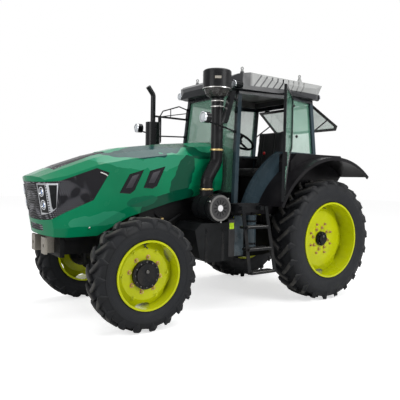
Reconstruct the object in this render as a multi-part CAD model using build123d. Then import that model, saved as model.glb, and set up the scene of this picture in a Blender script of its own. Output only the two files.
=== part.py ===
"""Farm tractor with a closed cab: four driven wheels, tilting hood, two doors and a rear hitch.

Millimetres. +X forward, +Y to the driver's left, +Z up. While it is being modelled the rear axle is
at x = 0 and the ground at z = 0; every piece is then shifted along X so that the origin is the
bottom centre of the whole tractor.
"""
import os
from math import cos, degrees, pi, radians, sin, sqrt

from build123d import *

# ---- driving dimensions -------------------------------------------------------------------------
WHEELBASE = 2485
# rear axle's middle seen from the middle of the tractor's outline, its left door standing open
ORIGIN_X, ORIGIN_Y = -1155, -101.5
FACE_GAP = 0.5                # between faces that turn or slide on each other
SEAT_GAP = 0.3                # between loose faces at rest

# name: outer radius, section width, track, bead radius, lugs per side, lug height, lug width
REAR_TYRE = dict(radius=735, width=382, track=1550, bead=445, lugs=22, lug_height=44, lug_width=38)
FRONT_TYRE = dict(radius=541, width=272, track=1554, bead=320, lugs=19, lug_height=38, lug_width=32)
REAR_RIM = dict(flange=457, width=356, skin=8, disc_in=175, disc_skin=12, slot_count=6,
                bolt_circle=135, bolt_count=8)
FRONT_RIM = dict(flange=330, width=254, skin=8, disc_in=95, disc_skin=12, slot_count=6,
                 bolt_circle=165, bolt_count=8)
REAR_HUB = dict(radius=88, proud=28, boss=60, boss_proud=20)
FRONT_HUB = dict(radius=138, proud=32, boss=105, boss_proud=16)
LUG_ANGLE = 48                # of a lug's bar from the running direction, degrees
LUG_ROOT = 14                 # how far a lug reaches into the carcass
LUG_OVERLAP = 14              # past the tyre's middle plane
LUG_MIDDLE = 0.42             # share of the half width where a lug's bar is centred
BORE_SIDES = 16                # flats of the tyre's seat on its rim
RIM_LIP = 14
BEAD_CLEARANCE = 6            # between the tyre's foot and the rim's flange

KINGPIN_Y = 600
KINGPIN_RADIUS = 58
KINGPIN_HALF_HEIGHT = 112
EAR_THICKNESS = 34
SPINDLE_RADIUS = 72
SPINDLE_END_Y = 742
STEER_ARM_BACK = 165          # tie-rod eye behind the kingpin
STEER_ARM_IN = 70             # tie-rod eye inboard of the kingpin
STEER_ARM_Z = 492
STEER_ARM_THICKNESS = 24
STEER_ARM_NECK = 100           # the arm runs straight back this far before it turns inboard
STEER_ARM_HALF = 24
TIE_ROD_RADIUS = 16
TIE_EYE_RADIUS = 30
TIE_EYE_HEIGHT = 34
DIFFERENTIAL_RADIUS = 112
DIFFERENTIAL_HALF = 150
AXLE_ARM_RADIUS = 62

BOLSTER_Z = 690               # underside of the front frame, where the axle's saddle meets it
BOLSTER_TOP = 840
BOLSTER_FRONT = 3120
BOLSTER_HALF = 215
BOLSTER_RAIL = 60
FRONT_PLATE_THICKNESS = 45

ENGINE_REAR = 1290
ENGINE_FRONT = WHEELBASE - 225
ENGINE_HALF = 250
ENGINE_TOP = 1330
ENGINE_BASE = 640
SUMP_BASE = 505
SUMP_HALF = 175
RADIATOR_REAR = 2700
RADIATOR_DEPTH = 130
RADIATOR_HALF = 320
RADIATOR_TOP = 1450

GEARBOX_HALF = 190
GEARBOX_BASE = 480
GEARBOX_TOP = 880
BELL_TOP = 1000
AXLE_CASE_HALF_LENGTH = 230
AXLE_CASE_HALF_WIDTH = 225
AXLE_CASE_TOP = 960
AXLE_CASE_BASE = 520
TRUMPET_INNER = 112
TRUMPET_OUTER = 92
TRUMPET_END = 640

FLOOR_Z = 1040
FLOOR_THICKNESS = 60
FLOOR_FRONT = 1250
FLOOR_HALF = 545
SILL_TOP = 1180
SILL_BASE = 1090
SILL_REAR = 1010
SILL_FRONT = 1350
SILL_OUTER = 800

# cab pillars on the left: foot and head, each x, y, z
A_FOOT, A_HEAD = (1230, 600, 1180), (1124, 516, 2466)
B_FOOT, B_HEAD = (475, 687, 1790), (430, 640, 2466)
C_FOOT, C_HEAD = (-50, 600, 1790), (-40, 530, 2466)
PILLAR = 52
ROOF_RAIL = 40
WAIST_RAIL = 22
GLASS = 6
WINDSCREEN_BASE = 1300

FENDER_RADIUS = 1000
FENDER_SKIN = 8
FENDER_INNER = 548
FENDER_OUTER = 1000
FENDER_START = 25             # degrees above the axle, forward
FENDER_END = 129
FENDER_LIP = 38
LEDGE_TOP = 1768
LEDGE_OUTER = 800
LEDGE_REAR = -340
LEDGE_FRONT = 480
LEDGE_SLOPE = 100              # the ledge's front end slopes down over this length
BAND_DEPTH = 205              # curved door sill over the fender
BAND_Y = (560, 612)

DOOR_GAP = 10
DOOR_THICKNESS = 28
DOOR_BORDER = 34
DOOR_OPEN = 48                # how far the left door stands open, degrees
DOOR_TOP = 2440
DOOR_SILL_GAP = 16
DOOR_BASE = SILL_TOP + DOOR_SILL_GAP
DOOR_SILL_RADIUS = 1200
DOOR_REAR_GAP = 4              # between the door's rear edge and its hinge blocks
DOOR_REAR_LOW = 35             # lowest point of the rear edge above the door pillar's foot
HINGE_RADIUS = 11
HINGE_LENGTH = 60

HOOD_SKIN = 8
HOOD_HALF = 400
HOOD_HALF_FOOT = 376
HOOD_HALF_SHOULDER = 290
HOOD_HALF_FLAT = 110
NOSE_X = 3345
NOSE_RADIUS = 1360
NOSE_RAKE = 9.5
NOSE_TOP_Z = 1430
COWL_SEAM_X = 3100
COWL_TOP = 1090
HINGE_X = 1300
HINGE_Z = 1815
HOOD_EAR_Y = 120
HOOD_EAR_THICKNESS = 12
HOOD_PIVOT_RADIUS = 18
BULKHEAD_X = 1262
BULKHEAD_THICKNESS = 12

# hood stations: x, lower edge, lower crease, upper crease, shoulder, crown, width factor
HOOD_STATIONS = [
    (1270, 1330, 1440, 1700, 1835, 1885, 1.00),
    (1940, 1190, 1310, 1700, 1775, 1825, 1.00),
    (2450, 1045, 1160, 1632, 1705, 1757, 1.00),
    (2780, 874, 990, 1565, 1635, 1668, 1.00),
    (3080, 870, 960, 1455, 1525, 1562, 0.985),
    (3400, 895, 960, 1385, 1405, 1424, 0.90),
]

CARRIER_HOLE_RADIUS = 9
CARRIER_HOLES_Y = (-268, 268)
CARRIER_HOLES_Z = (720, 800)
ROCKER_X = -285
ROCKER_Z = 950
ROCKER_RADIUS = 34
LINK_FOOT_X = -210
LINK_FOOT_Z = 520
LINK_FOOT_Y = 275
LINK_THICKNESS = 24
LINK_END = (-990, 400, 470)
LINK_EYE_RADIUS = 14.5
LINK_BALL_RADIUS = 38
TOP_LINK_X = -300
TOP_LINK_Z = 830
TOP_LINK_HOLE = 12.8
PTO_Z = 640
PTO_RADIUS = 17.5
DRAWBAR_Z = 430
DRAWBAR_HOLE_X = -660
DRAWBAR_HOLE = 15.5
LIFT_ARM_Y = 236
LIFT_ARM_THICKNESS = 26
LIFT_ARM_END = (-600, 985)
LIFT_ROD_FOOT_X = -640
LINK_ROD_GAP = 6              # the slanted link passes the rod's eye by this much
LIFT_ROD_RADIUS = 17
HINGE_HEIGHTS = (90, 470)      # lower ends of the door's barrels above the pillar's foot
HINGE_STANDOFF = 16
HINGE_SEAT = 8                 # how far a hinge block reaches into the pillar
HINGE_SEAT_WIDTH = 14
REAR_WINDOW_HINGE = (-90, 2415)    # x, z
REAR_WINDOW_LENGTH = 545
REAR_WINDOW_OPEN = 58              # degrees out from hanging
REAR_WINDOW_BORDER = 42
STRUT_Y = 540
STRUT_FOOT_Z = 2080
STRUT_HEAD_DOWN = 300
STRUT_OFFSET = 16
STRUT_RADIUS = 9
STRUT_PIN = 6
# roof seen from the side: x, z
ROOF_SIDE = [(1262, 2466), (1300, 2535), (1285, 2585), (1200, 2634), (1000, 2670), (600, 2703), (200, 2717),
             (-90, 2706), (-165, 2672), (-118, 2618), (-52, 2522), (-48, 2466)]
# roof seen from the front: y, z
ROOF_FRONT = [(640, 2466), (664, 2505), (648, 2590), (600, 2660), (440, 2708), (0, 2730)]
# roof seen from above: x, y
ROOF_PLAN = [(1310, 0), (1300, 400), (1262, 520), (1150, 585), (450, 664), (0, 640), (-170, 600), (-170, 0)]
# lamps let into the roof's corners: rear end x, front face x, y, z, radius
ROOF_LAMPS = [(1150, 1262, 552, 2512, 45), (20, -128, 560, 2510, 42)]
# x, y and height of the foot of each lifting eye
LIFTING_EYES = [(1050, 450, 2652), (100, 450, 2690)]
ROOF_GROOVES = 5
ROOF_GROOVE_DEPTH = 12
ROOF_GROOVE_WIDTH = 20
ROOF_GROOVE_STEP = 88
ROOF_GROOVE_FIRST = 530        # x of the foremost groove's upper end
ROOF_GROOVE_LEAN = 108         # each groove's lower end is this far ahead of its upper end
ROOF_GROOVE_Z = (2508, 2648)
WHEEL_CENTRE = (700, 1945)         # steering wheel, x and z
WHEEL_TILT = 32
WHEEL_RING = 195
# openings of the hood seen from the side: x, z
FRONT_OPENING = [(3420, 1385), (3160, 1402), (2800, 1532), (2665, 1490), (2830, 1222), (3100, 1112), (3262, 1030),
                 (3420, 1010)]
VENT_OPENINGS = [
    [(2450, 1480), (2285, 1530), (2390, 1318), (2440, 1282), (2560, 1290)],
    [(2215, 1520), (2030, 1572), (2130, 1362), (2180, 1335), (2290, 1342)],
]
LAMP_OUTLINE = [(3420, 1376), (3170, 1380), (3185, 1150), (3290, 1062), (3420, 1062)]
LAMP_INNER = 205
TOP_MESH = [(2620, 165), (3165, 215), (3165, -215), (2620, -165)]
TANK = dict(rear=1310, front=WHEELBASE - 685, inner=260, outer=690, base=560, top=1020)
RESERVOIR = dict(place=(970, 560), radius=68, base=630)
GUARD_PLATE = dict(x=(1105, 1241), y=(588, 600), base=585)
LADDER = dict(outer=900, inner=840, front_top=1350, front_foot=1230, rear_top=1020, rear_foot=860, foot=420)
AIR_CLEANER = dict(x=1560, z=1140, radius=147, inner=420, outer=750, core=66)
DUCT_Y = 520
DUCT_RADIUS = 67
DUCT_TOP_X = 1450
DUCT_FOOT_X = 1580
DUCT_HEAD_Z = 2330
# radius and height over the duct's head: bowl, then drum with its turned-in edge
PRECLEANER_SIDE = ((DUCT_RADIUS + 6, 0), (118, 40), (140, 95), (156, 98), (156, 290), (146, 302))
PAD_RADIUS = 15
MIRROR_ROOTS = (2215, 2340)    # heights of the two pads on the pillar
MIRROR_POST = (1410, 800, 2262)
MIRROR_ARM = 13
MIRROR_LOOP = 8
MIRROR_DEPTH = 44
# middle of the top edge, how far the foot lies in front of it, turn from straight ahead in degrees
MIRROR_HEADS = {"left": ((1478, 805, 2362), (62, -45), 66), "right": ((1410, 800, 2249), (0, 0), -60)}
# drop below the top edge, width
MIRROR_OUTLINE = ((330, 114), (275, 162), (50, 171), (0, 142))


# ---- helpers ------------------------------------------------------------------------------------
def block(x, y, z):
    """Box from its low and high x, y and z."""
    return Pos((x[0] + x[1]) / 2, (y[0] + y[1]) / 2, (z[0] + z[1]) / 2) * Box(
        x[1] - x[0], y[1] - y[0], z[1] - z[0])


def side_plate(points, y0, y1):
    """Polygon of x, z points, as thick as from y0 to y1."""
    face = make_face(Polyline(*[(x, y0, z) for x, z in points], close=True))
    return extrude(face, amount=y1 - y0, dir=(0, 1, 0))


def plan_plate(points, z0, z1):
    """Polygon of x, y points, from z0 up to z1."""
    face = make_face(Polyline(*[(x, y, z0) for x, y in points], close=True))
    return extrude(face, amount=z1 - z0, dir=(0, 0, 1))


def bar(p, q, radius):
    """Round bar from point p to point q."""
    p, q = Vector(p), Vector(q)
    return Plane(origin=(p + q) / 2, z_dir=q - p) * Cylinder(radius, (q - p).length)


def round_y(x, z, radius, y0, y1):
    """Cylinder along Y."""
    return bar((x, y0, z), (x, y1, z), radius)


def round_z(x, y, radius, z0, z1):
    """Cylinder along Z."""
    return bar((x, y, z0), (x, y, z1), radius)


def pipe(points, radius, bend):
    """Round tube of solid section along straight runs joined by arcs."""
    path = FilletPolyline(*points, radius=bend)
    start = Plane(origin=path @ 0, z_dir=path % 0)
    return sweep(start * Circle(radius), path=path)


def post(foot, head, width_x, width_y):
    """Leaning square post between two levels."""
    ends = [Plane(origin=p, z_dir=(0, 0, 1)) * Rectangle(width_x, width_y) for p in (foot, head)]
    return loft(ends, ruled=True)


def mirrored(shape):
    return mirror(shape, about=Plane.XZ)


def both(shape):
    """A piece and its mirror image, as solids that stay apart."""
    return Compound(children=[*shape.solids(), *mirrored(shape).solids()])


def revolve_y(points, x, z):
    """Ring about the Y direction through x, z; points are y, radius."""
    face = make_face(Polyline(*[(x + r, y, z) for y, r in points], close=True))
    return revolve(face, axis=Axis((x, 0, z), (0, 1, 0)))


def save(shape, node):
    solids = Compound(children=[Pos(ORIGIN_X, ORIGIN_Y, 0) * s for s in shape.solids()])
    export_step(solids, f"parts/{node}.step")


# ---- wheels: modelled about the Y axis, outer side towards +Y ------------------------------------
def tyre(t, r):
    """Agricultural tyre: flat-sided carcass with a bar lug every step, the sides half a step apart."""
    half = t["width"] / 2
    foot = r["width"] / 2 - RIM_LIP - BEAD_CLEARANCE
    tread = t["radius"] - t["lug_height"]
    # y, radius of the carcass rings
    bulge = t["bead"] + 0.42 * (tread - t["bead"])
    left_rings = [(half * 0.84, tread), (half, bulge), (foot, t["bead"])]
    rings = [(-y, r) for y, r in reversed(left_rings)] + left_rings
    step = 360 / t["lugs"]
    # a corner of the carcass lies between a lug of one side and the next of the other
    turn = Rot(0, 0, step / 4)
    sections = [Plane(origin=(0, y, 0), x_dir=(1, 0, 0), z_dir=(0, 1, 0)) * turn
                * RegularPolygon(r, t["lugs"], major_radius=True) for y, r in rings]
    carcass = loft(sections, ruled=True)
    bore = Plane(origin=(0, -half, 0), x_dir=(1, 0, 0), z_dir=(0, 1, 0)) * turn
    carcass -= extrude(bore * RegularPolygon(t["bead"] - 1, BORE_SIDES, major_radius=False), amount=2 * half)
    lugs = []
    for n in range(t["lugs"]):
        for side in (1, -1):
            angle = n * step + (0 if side > 0 else step / 2)
            lugs.append(Rot(0, angle, 0) * lug(t, side))
    return carcass.fuse(*lugs)


def lug(t, side):
    """One bar on top of the tyre: from past the middle to the shoulder, trailing outwards."""
    half, width = t["width"] / 2, t["lug_width"]
    base = t["radius"] - t["lug_height"] - LUG_ROOT
    lean = radians(LUG_ANGLE)
    middle_y = half * LUG_MIDDLE
    # y from the tyre's middle plane, radius of the lug there
    outline = [(-LUG_OVERLAP, base), (-LUG_OVERLAP, t["radius"]),
               (half * 0.84, t["radius"] - 9), (half * 0.95, t["radius"] - 74), (half * 0.6, base - 12)]
    along = Vector(-cos(lean), side * sin(lean), 0)
    points = []
    for y, r in outline:
        from_middle = (y - middle_y) / sin(lean)
        swept = abs(from_middle) * cos(lean) + width / 2 * sin(lean)
        points.append(along * from_middle + Vector(0, side * middle_y, sqrt(r ** 2 - swept ** 2)))
    across = Vector(0, 0, 1).cross(along)
    return extrude(make_face(Polyline(*[p - across * (width / 2) for p in points], close=True)),
                   amount=width, dir=across)


def rim(t, r):
    """Steel rim: barrel with flanges and a dished centre disc with lens-shaped openings at its edge."""
    half = r["width"] / 2
    seat = t["bead"] - 1 - SEAT_GAP
    inner = seat - r["skin"]
    disc = half - r["disc_in"]
    lip = RIM_LIP
    flat = inner * 0.78
    barrel = revolve_y([(-half, inner), (-half, r["flange"]), (-half + lip, r["flange"]),
                        (-half + lip, seat), (half - lip, seat), (half - lip, r["flange"]),
                        (half, r["flange"]), (half, inner)], 0, 0)
    skin = r["disc_skin"]
    plate = revolve_y([(disc - skin, 0), (disc - skin, flat), (disc - skin - 40, inner),
                       (disc - 40, inner), (disc, flat), (disc, 0)], 0, 0)
    cuts = []
    for n in range(r["slot_count"]):
        angle = 2 * pi * (n + 0.5) / r["slot_count"]
        reach = inner * 1.30
        cuts.append(round_y(reach * cos(angle), reach * sin(angle), inner * 0.42, disc - 90, disc + 20))
    plate -= cuts
    plate &= round_y(0, 0, inner + 1, disc - 90, disc + 20)
    nuts = []
    for n in range(r["bolt_count"]):
        angle = 2 * pi * (n + 0.25) / r["bolt_count"]
        x, z = r["bolt_circle"] * cos(angle), r["bolt_circle"] * sin(angle)
        nuts.append(Plane(origin=(x, disc - 2, z), x_dir=(1, 0, 0), z_dir=(0, 1, 0))
                    * extrude(RegularPolygon(15, 6), amount=22))
    return (barrel + plate).fuse(*nuts)


def hub(r, h, length_in):
    """Axle hub: flange behind the disc, stepped cap in front of it."""
    disc = r["width"] / 2 - r["disc_in"]
    back = round_y(0, 0, h["radius"] + 20, disc - r["disc_skin"] - length_in, disc - r["disc_skin"])
    front = round_y(0, 0, h["radius"], disc, disc + h["proud"])
    boss = round_y(0, 0, h["boss"], disc + h["proud"], disc + h["proud"] + h["boss_proud"])
    cap = front + boss
    ring = h["radius"] * 0.86
    heads = []
    for n in range(10):
        angle = 2 * pi * n / 10
        seat = Plane(origin=(ring * cos(angle), disc + h["proud"] - 1, ring * sin(angle)), x_dir=(1, 0, 0),
                     z_dir=(0, 1, 0))
        heads.append(extrude(seat * RegularPolygon(h["radius"] * 0.07, 6), amount=10))
    return [back, cap.fuse(*heads)]


# ---- chassis ------------------------------------------------------------------------------------
def front_bolster():
    rails = [block((ENGINE_FRONT, BOLSTER_FRONT), (s * BOLSTER_HALF - BOLSTER_RAIL / 2,
             s * BOLSTER_HALF + BOLSTER_RAIL / 2), (BOLSTER_Z, BOLSTER_TOP)) for s in (1, -1)]
    inside = BOLSTER_HALF - BOLSTER_RAIL / 2
    deck = block((ENGINE_FRONT, BOLSTER_FRONT), (-inside, inside), (BOLSTER_TOP - 40, BOLSTER_TOP))
    saddle_cap = block((WHEELBASE - 130, WHEELBASE + 130), (-inside, inside), (BOLSTER_Z, BOLSTER_TOP - 40))
    face = block((BOLSTER_FRONT - FRONT_PLATE_THICKNESS, BOLSTER_FRONT), (-290, 290),
                 (BOLSTER_Z - 20, BOLSTER_TOP + 22))
    shelf = block((RADIATOR_REAR - 40, BOLSTER_FRONT - FRONT_PLATE_THICKNESS), (-RADIATOR_HALF, RADIATOR_HALF),
                  (BOLSTER_TOP, BOLSTER_TOP + 20))
    bolster = rails[0] + rails[1] + deck + saddle_cap + face + shelf
    for y in CARRIER_HOLES_Y:
        for z in CARRIER_HOLES_Z:
            bolster -= bar((BOLSTER_FRONT - FRONT_PLATE_THICKNESS - 1, y, z), (BOLSTER_FRONT + 1, y, z),
                           CARRIER_HOLE_RADIUS)
    return bolster


def front_plates():
    """Two pairs of towing plates bolted to the face of the front frame."""
    near = block((BOLSTER_FRONT, BOLSTER_FRONT + 120), (100, 125), (700, 862))
    near += block((BOLSTER_FRONT + 96, BOLSTER_FRONT + 120), (125, 215), (700, 862))
    return both(near - bar((3200, 165, 780), (3260, 165, 780), 16))


def radiator():
    core = block((RADIATOR_REAR, RADIATOR_REAR + RADIATOR_DEPTH), (-RADIATOR_HALF, RADIATOR_HALF),
                 (BOLSTER_TOP + 20, RADIATOR_TOP))
    shroud = bar((RADIATOR_REAR - 90, 0, 1180), (RADIATOR_REAR, 0, 1180), 255)
    fan_hub = bar((ENGINE_FRONT, 0, 1180), (RADIATOR_REAR - 90, 0, 1180), 45)
    return core + shroud + fan_hub


def engine_block():
    block_body = block((ENGINE_REAR, ENGINE_FRONT), (-ENGINE_HALF, ENGINE_HALF), (ENGINE_BASE, ENGINE_TOP))
    sump = side_plate([(ENGINE_REAR, SUMP_BASE + 40), (ENGINE_REAR + 60, SUMP_BASE),
                       (ENGINE_FRONT - 260, SUMP_BASE), (ENGINE_FRONT - 180, ENGINE_BASE - 40),
                       (ENGINE_FRONT, ENGINE_BASE - 40), (ENGINE_FRONT, ENGINE_BASE),
                       (ENGINE_REAR, ENGINE_BASE)], -SUMP_HALF, SUMP_HALF)
    cover = block((ENGINE_REAR + 120, ENGINE_FRONT - 120), (-120, 120), (ENGINE_TOP, ENGINE_TOP + 110))
    return block_body + sump + cover


def transmission_housing():
    case = side_plate([(AXLE_CASE_HALF_LENGTH, GEARBOX_BASE + 40), (420, GEARBOX_BASE),
                       (ENGINE_REAR, GEARBOX_BASE), (ENGINE_REAR, BELL_TOP),
                       (ENGINE_REAR - 90, BELL_TOP), (ENGINE_REAR - 160, GEARBOX_TOP),
                       (AXLE_CASE_HALF_LENGTH, GEARBOX_TOP)], -GEARBOX_HALF, GEARBOX_HALF)
    mounts = [round_z(x, y, 45, GEARBOX_TOP - 5, FLOOR_Z) for x in (360, 940) for y in (-140, 140)]
    return case.fuse(*mounts)


def rear_axle_housing():
    case = block((-AXLE_CASE_HALF_LENGTH, AXLE_CASE_HALF_LENGTH),
                 (-AXLE_CASE_HALF_WIDTH, AXLE_CASE_HALF_WIDTH), (AXLE_CASE_BASE, AXLE_CASE_TOP))
    z = REAR_TYRE["radius"]
    trumpet = revolve_y([(AXLE_CASE_HALF_WIDTH - 5, 0), (AXLE_CASE_HALF_WIDTH - 5, 165),
                         (AXLE_CASE_HALF_WIDTH + 40, TRUMPET_INNER), (TRUMPET_END - 40, TRUMPET_OUTER),
                         (TRUMPET_END - 40, 128), (TRUMPET_END, 128), (TRUMPET_END, 0)], 0, z)
    lift = block((-AXLE_CASE_HALF_LENGTH, -40), (-150, 150), (AXLE_CASE_TOP, FLOOR_Z - 20))
    rocker_shaft = round_y(ROCKER_X, ROCKER_Z, ROCKER_RADIUS, -190, 190)
    rocker_seat = block((ROCKER_X, -AXLE_CASE_HALF_LENGTH), (-150, 150), (ROCKER_Z - 45, ROCKER_Z + 45))
    ears = []
    for s in (1, -1):
        inner = LINK_FOOT_Y - LINK_THICKNESS / 2 - FACE_GAP
        width = sorted((s * (AXLE_CASE_HALF_WIDTH - 5), s * inner))
        ears.append(block((LINK_FOOT_X, LINK_FOOT_X + 90), width, (LINK_FOOT_Z - 40, LINK_FOOT_Z + 60)))
        ears.append(round_y(LINK_FOOT_X, LINK_FOOT_Z, 40, *width))
    top_ears = [block((TOP_LINK_X - 35, -AXLE_CASE_HALF_LENGTH), tuple(sorted((s * 28, s * 50))),
                      (TOP_LINK_Z - 35, TOP_LINK_Z + 35)) for s in (1, -1)]
    pto_boss = bar((-AXLE_CASE_HALF_LENGTH, 0, PTO_Z), (-AXLE_CASE_HALF_LENGTH - 30, 0, PTO_Z), 75)
    drawbar = block((-700, -120), (-38, 38), (DRAWBAR_Z, DRAWBAR_Z + 32))
    hanger = block((-AXLE_CASE_HALF_LENGTH + 10, -AXLE_CASE_HALF_LENGTH + 60), (-90, 90),
                   (DRAWBAR_Z, AXLE_CASE_BASE))
    hanger_front = block((-AXLE_CASE_HALF_LENGTH + 60, -60), (-60, 60), (DRAWBAR_Z, AXLE_CASE_BASE))
    housing = case.fuse(trumpet, mirrored(trumpet), lift, rocker_shaft, rocker_seat, *ears, *top_ears,
                        pto_boss, drawbar, hanger, hanger_front)
    housing -= round_y(TOP_LINK_X, TOP_LINK_Z, TOP_LINK_HOLE, -60, 60)
    housing -= round_z(DRAWBAR_HOLE_X, 0, DRAWBAR_HOLE, DRAWBAR_Z - 5, DRAWBAR_Z + 50)
    return housing


def front_axle():
    z = FRONT_TYRE["radius"]
    case = round_y(WHEELBASE, z, DIFFERENTIAL_RADIUS, -DIFFERENTIAL_HALF, DIFFERENTIAL_HALF)
    arm = revolve_y([(DIFFERENTIAL_HALF - 10, 0), (DIFFERENTIAL_HALF - 10, 95), (DIFFERENTIAL_HALF + 70, AXLE_ARM_RADIUS),
                     (KINGPIN_Y - 80, AXLE_ARM_RADIUS), (KINGPIN_Y - 80, 0)], WHEELBASE, z)
    ear_low = z - KINGPIN_HALF_HEIGHT - FACE_GAP
    ear_high = z + KINGPIN_HALF_HEIGHT + FACE_GAP
    web = block((WHEELBASE - 60, WHEELBASE + 60), (KINGPIN_Y - 115, KINGPIN_Y - 72),
                (ear_low - EAR_THICKNESS, ear_high + EAR_THICKNESS))
    ears = []
    for low, high in ((ear_low - EAR_THICKNESS, ear_low), (ear_high, ear_high + EAR_THICKNESS)):
        ears.append(block((WHEELBASE - 50, WHEELBASE + 50), (KINGPIN_Y - 100, KINGPIN_Y), (low, high)))
        ears.append(round_z(WHEELBASE, KINGPIN_Y, 50, low, high))
    end = web.fuse(arm, *ears)
    saddle = block((WHEELBASE - 100, WHEELBASE + 100), (-90, 90), (z + 60, BOLSTER_Z))
    nose = bar((WHEELBASE - 135, 0, z), (WHEELBASE + 125, 0, z), 70)
    return case.fuse(end, mirrored(end), saddle, nose)


def knuckle():
    """Left steering knuckle: kingpin body, spindle and the arm for the tie rod."""
    z = FRONT_TYRE["radius"]
    body = round_z(WHEELBASE, KINGPIN_Y, KINGPIN_RADIUS, z - KINGPIN_HALF_HEIGHT, z + KINGPIN_HALF_HEIGHT)
    spindle = round_y(WHEELBASE, z, SPINDLE_RADIUS, KINGPIN_Y, SPINDLE_END_Y)
    x, y = WHEELBASE - STEER_ARM_BACK, KINGPIN_Y - STEER_ARM_IN
    low = STEER_ARM_Z - STEER_ARM_THICKNESS
    neck = WHEELBASE - STEER_ARM_NECK
    half = STEER_ARM_HALF
    arm = plan_plate([(WHEELBASE - half, KINGPIN_Y - half), (neck, KINGPIN_Y - half), (x + half / 2, y - half),
                      (x - half / 2, y + half), (neck - half / 2, KINGPIN_Y + half),
                      (WHEELBASE - half, KINGPIN_Y + half)], low, STEER_ARM_Z)
    eye = round_z(x, y, TIE_EYE_RADIUS - 2, low, STEER_ARM_Z)
    return body.fuse(spindle, arm, eye)


def tie_rod():
    x, y = WHEELBASE - STEER_ARM_BACK, KINGPIN_Y - STEER_ARM_IN
    low = STEER_ARM_Z + FACE_GAP
    eyes = [round_z(x, s * y, TIE_EYE_RADIUS, low, low + TIE_EYE_HEIGHT) for s in (1, -1)]
    rod = round_y(x, low + TIE_EYE_HEIGHT / 2, TIE_ROD_RADIUS, -y, y)
    return rod.fuse(*eyes)


# ---- hitch --------------------------------------------------------------------------------------
def lower_link():
    """Left lower link: flat bar from its foot at the axle case to a ball end."""
    x, y, z = LINK_END
    t = LINK_THICKNESS / 2
    foot = round_y(LINK_FOOT_X, LINK_FOOT_Z, 40, LINK_FOOT_Y - t, LINK_FOOT_Y + t)
    start, end = Vector(LINK_FOOT_X, LINK_FOOT_Y, LINK_FOOT_Z), Vector(x, y, z)
    shaft = loft([Plane(origin=start, z_dir=end - start) * Rectangle(LINK_THICKNESS, 70),
                  Plane(origin=end, z_dir=end - start) * Rectangle(LINK_THICKNESS, 60)], ruled=True)
    ball = round_y(x, z, LINK_BALL_RADIUS, y - 24, y + 24)
    link = (shaft + foot + ball) - round_y(x, z, LINK_EYE_RADIUS, y - 60, y + 60)
    return link


def lift_arm():
    """Left rocker arm on the end of the lift shaft."""
    y0, y1 = LIFT_ARM_Y - LIFT_ARM_THICKNESS / 2, LIFT_ARM_Y + LIFT_ARM_THICKNESS / 2
    x, z = LIFT_ARM_END
    arm = side_plate([(ROCKER_X, ROCKER_Z - 42), (ROCKER_X, ROCKER_Z + 42), (x, z + 28), (x, z - 28)], y0, y1)
    arm += round_y(ROCKER_X, ROCKER_Z, 52, 190 + FACE_GAP, y1)
    return arm + round_y(x, z, 28, y0, y1)


def lift_rods():
    """Rods from the lower links up to the lift arms, each with an eye beside the arm."""
    y_top = LIFT_ARM_Y + LIFT_ARM_THICKNESS / 2 + FACE_GAP
    fx = LIFT_ROD_FOOT_X
    share = (LINK_FOOT_X - fx) / (LINK_FOOT_X - LINK_END[0])
    link_y = LINK_FOOT_Y + (LINK_END[1] - LINK_FOOT_Y) * share
    link_z = LINK_FOOT_Z + (LINK_END[2] - LINK_FOOT_Z) * share
    half = LIFT_ROD_RADIUS + 2
    y_foot = link_y - LINK_THICKNESS / 2 - LINK_ROD_GAP - 2 * half
    x, z = LIFT_ARM_END
    eye = round_y(x, z, 26, y_top, y_top + 2 * half)
    foot = round_y(fx, link_z, 24, y_foot, y_foot + 2 * half)
    rod = bar((x, y_top + half, z), (fx, y_foot + half, link_z), LIFT_ROD_RADIUS)
    return both(eye.fuse(foot, rod))


def pto_shaft():
    return bar((-AXLE_CASE_HALF_LENGTH - 30 - FACE_GAP, 0, PTO_Z), (-AXLE_CASE_HALF_LENGTH - 108, 0, PTO_Z),
               PTO_RADIUS)


# ---- cab ----------------------------------------------------------------------------------------
def at_height(foot, head, z):
    """Point of the line from foot to head at height z."""
    share = (z - foot[2]) / (head[2] - foot[2])
    return tuple(a + (b - a) * share for a, b in zip(foot, head))


def cab_floor():
    floor = block((-60, FLOOR_FRONT), (-FLOOR_HALF, FLOOR_HALF), (FLOOR_Z, FLOOR_Z + FLOOR_THICKNESS))
    sill = plan_plate([(SILL_REAR, FLOOR_HALF - 5), (SILL_FRONT - 60, FLOOR_HALF - 5), (SILL_FRONT, 640),
                       (SILL_FRONT, SILL_OUTER), (SILL_REAR + 60, SILL_OUTER)], SILL_BASE, SILL_TOP)
    # the sill starts clear of the fender's arc
    sill -= round_y(0, REAR_TYRE["radius"], FENDER_RADIUS + 8, 0, SILL_OUTER + 50)
    front_wall = block((FLOOR_FRONT - 16, FLOOR_FRONT), (-FLOOR_HALF + 15, FLOOR_HALF - 15),
                       (FLOOR_Z + FLOOR_THICKNESS, 1290))
    return floor.fuse(sill, mirrored(sill), front_wall)


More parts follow.
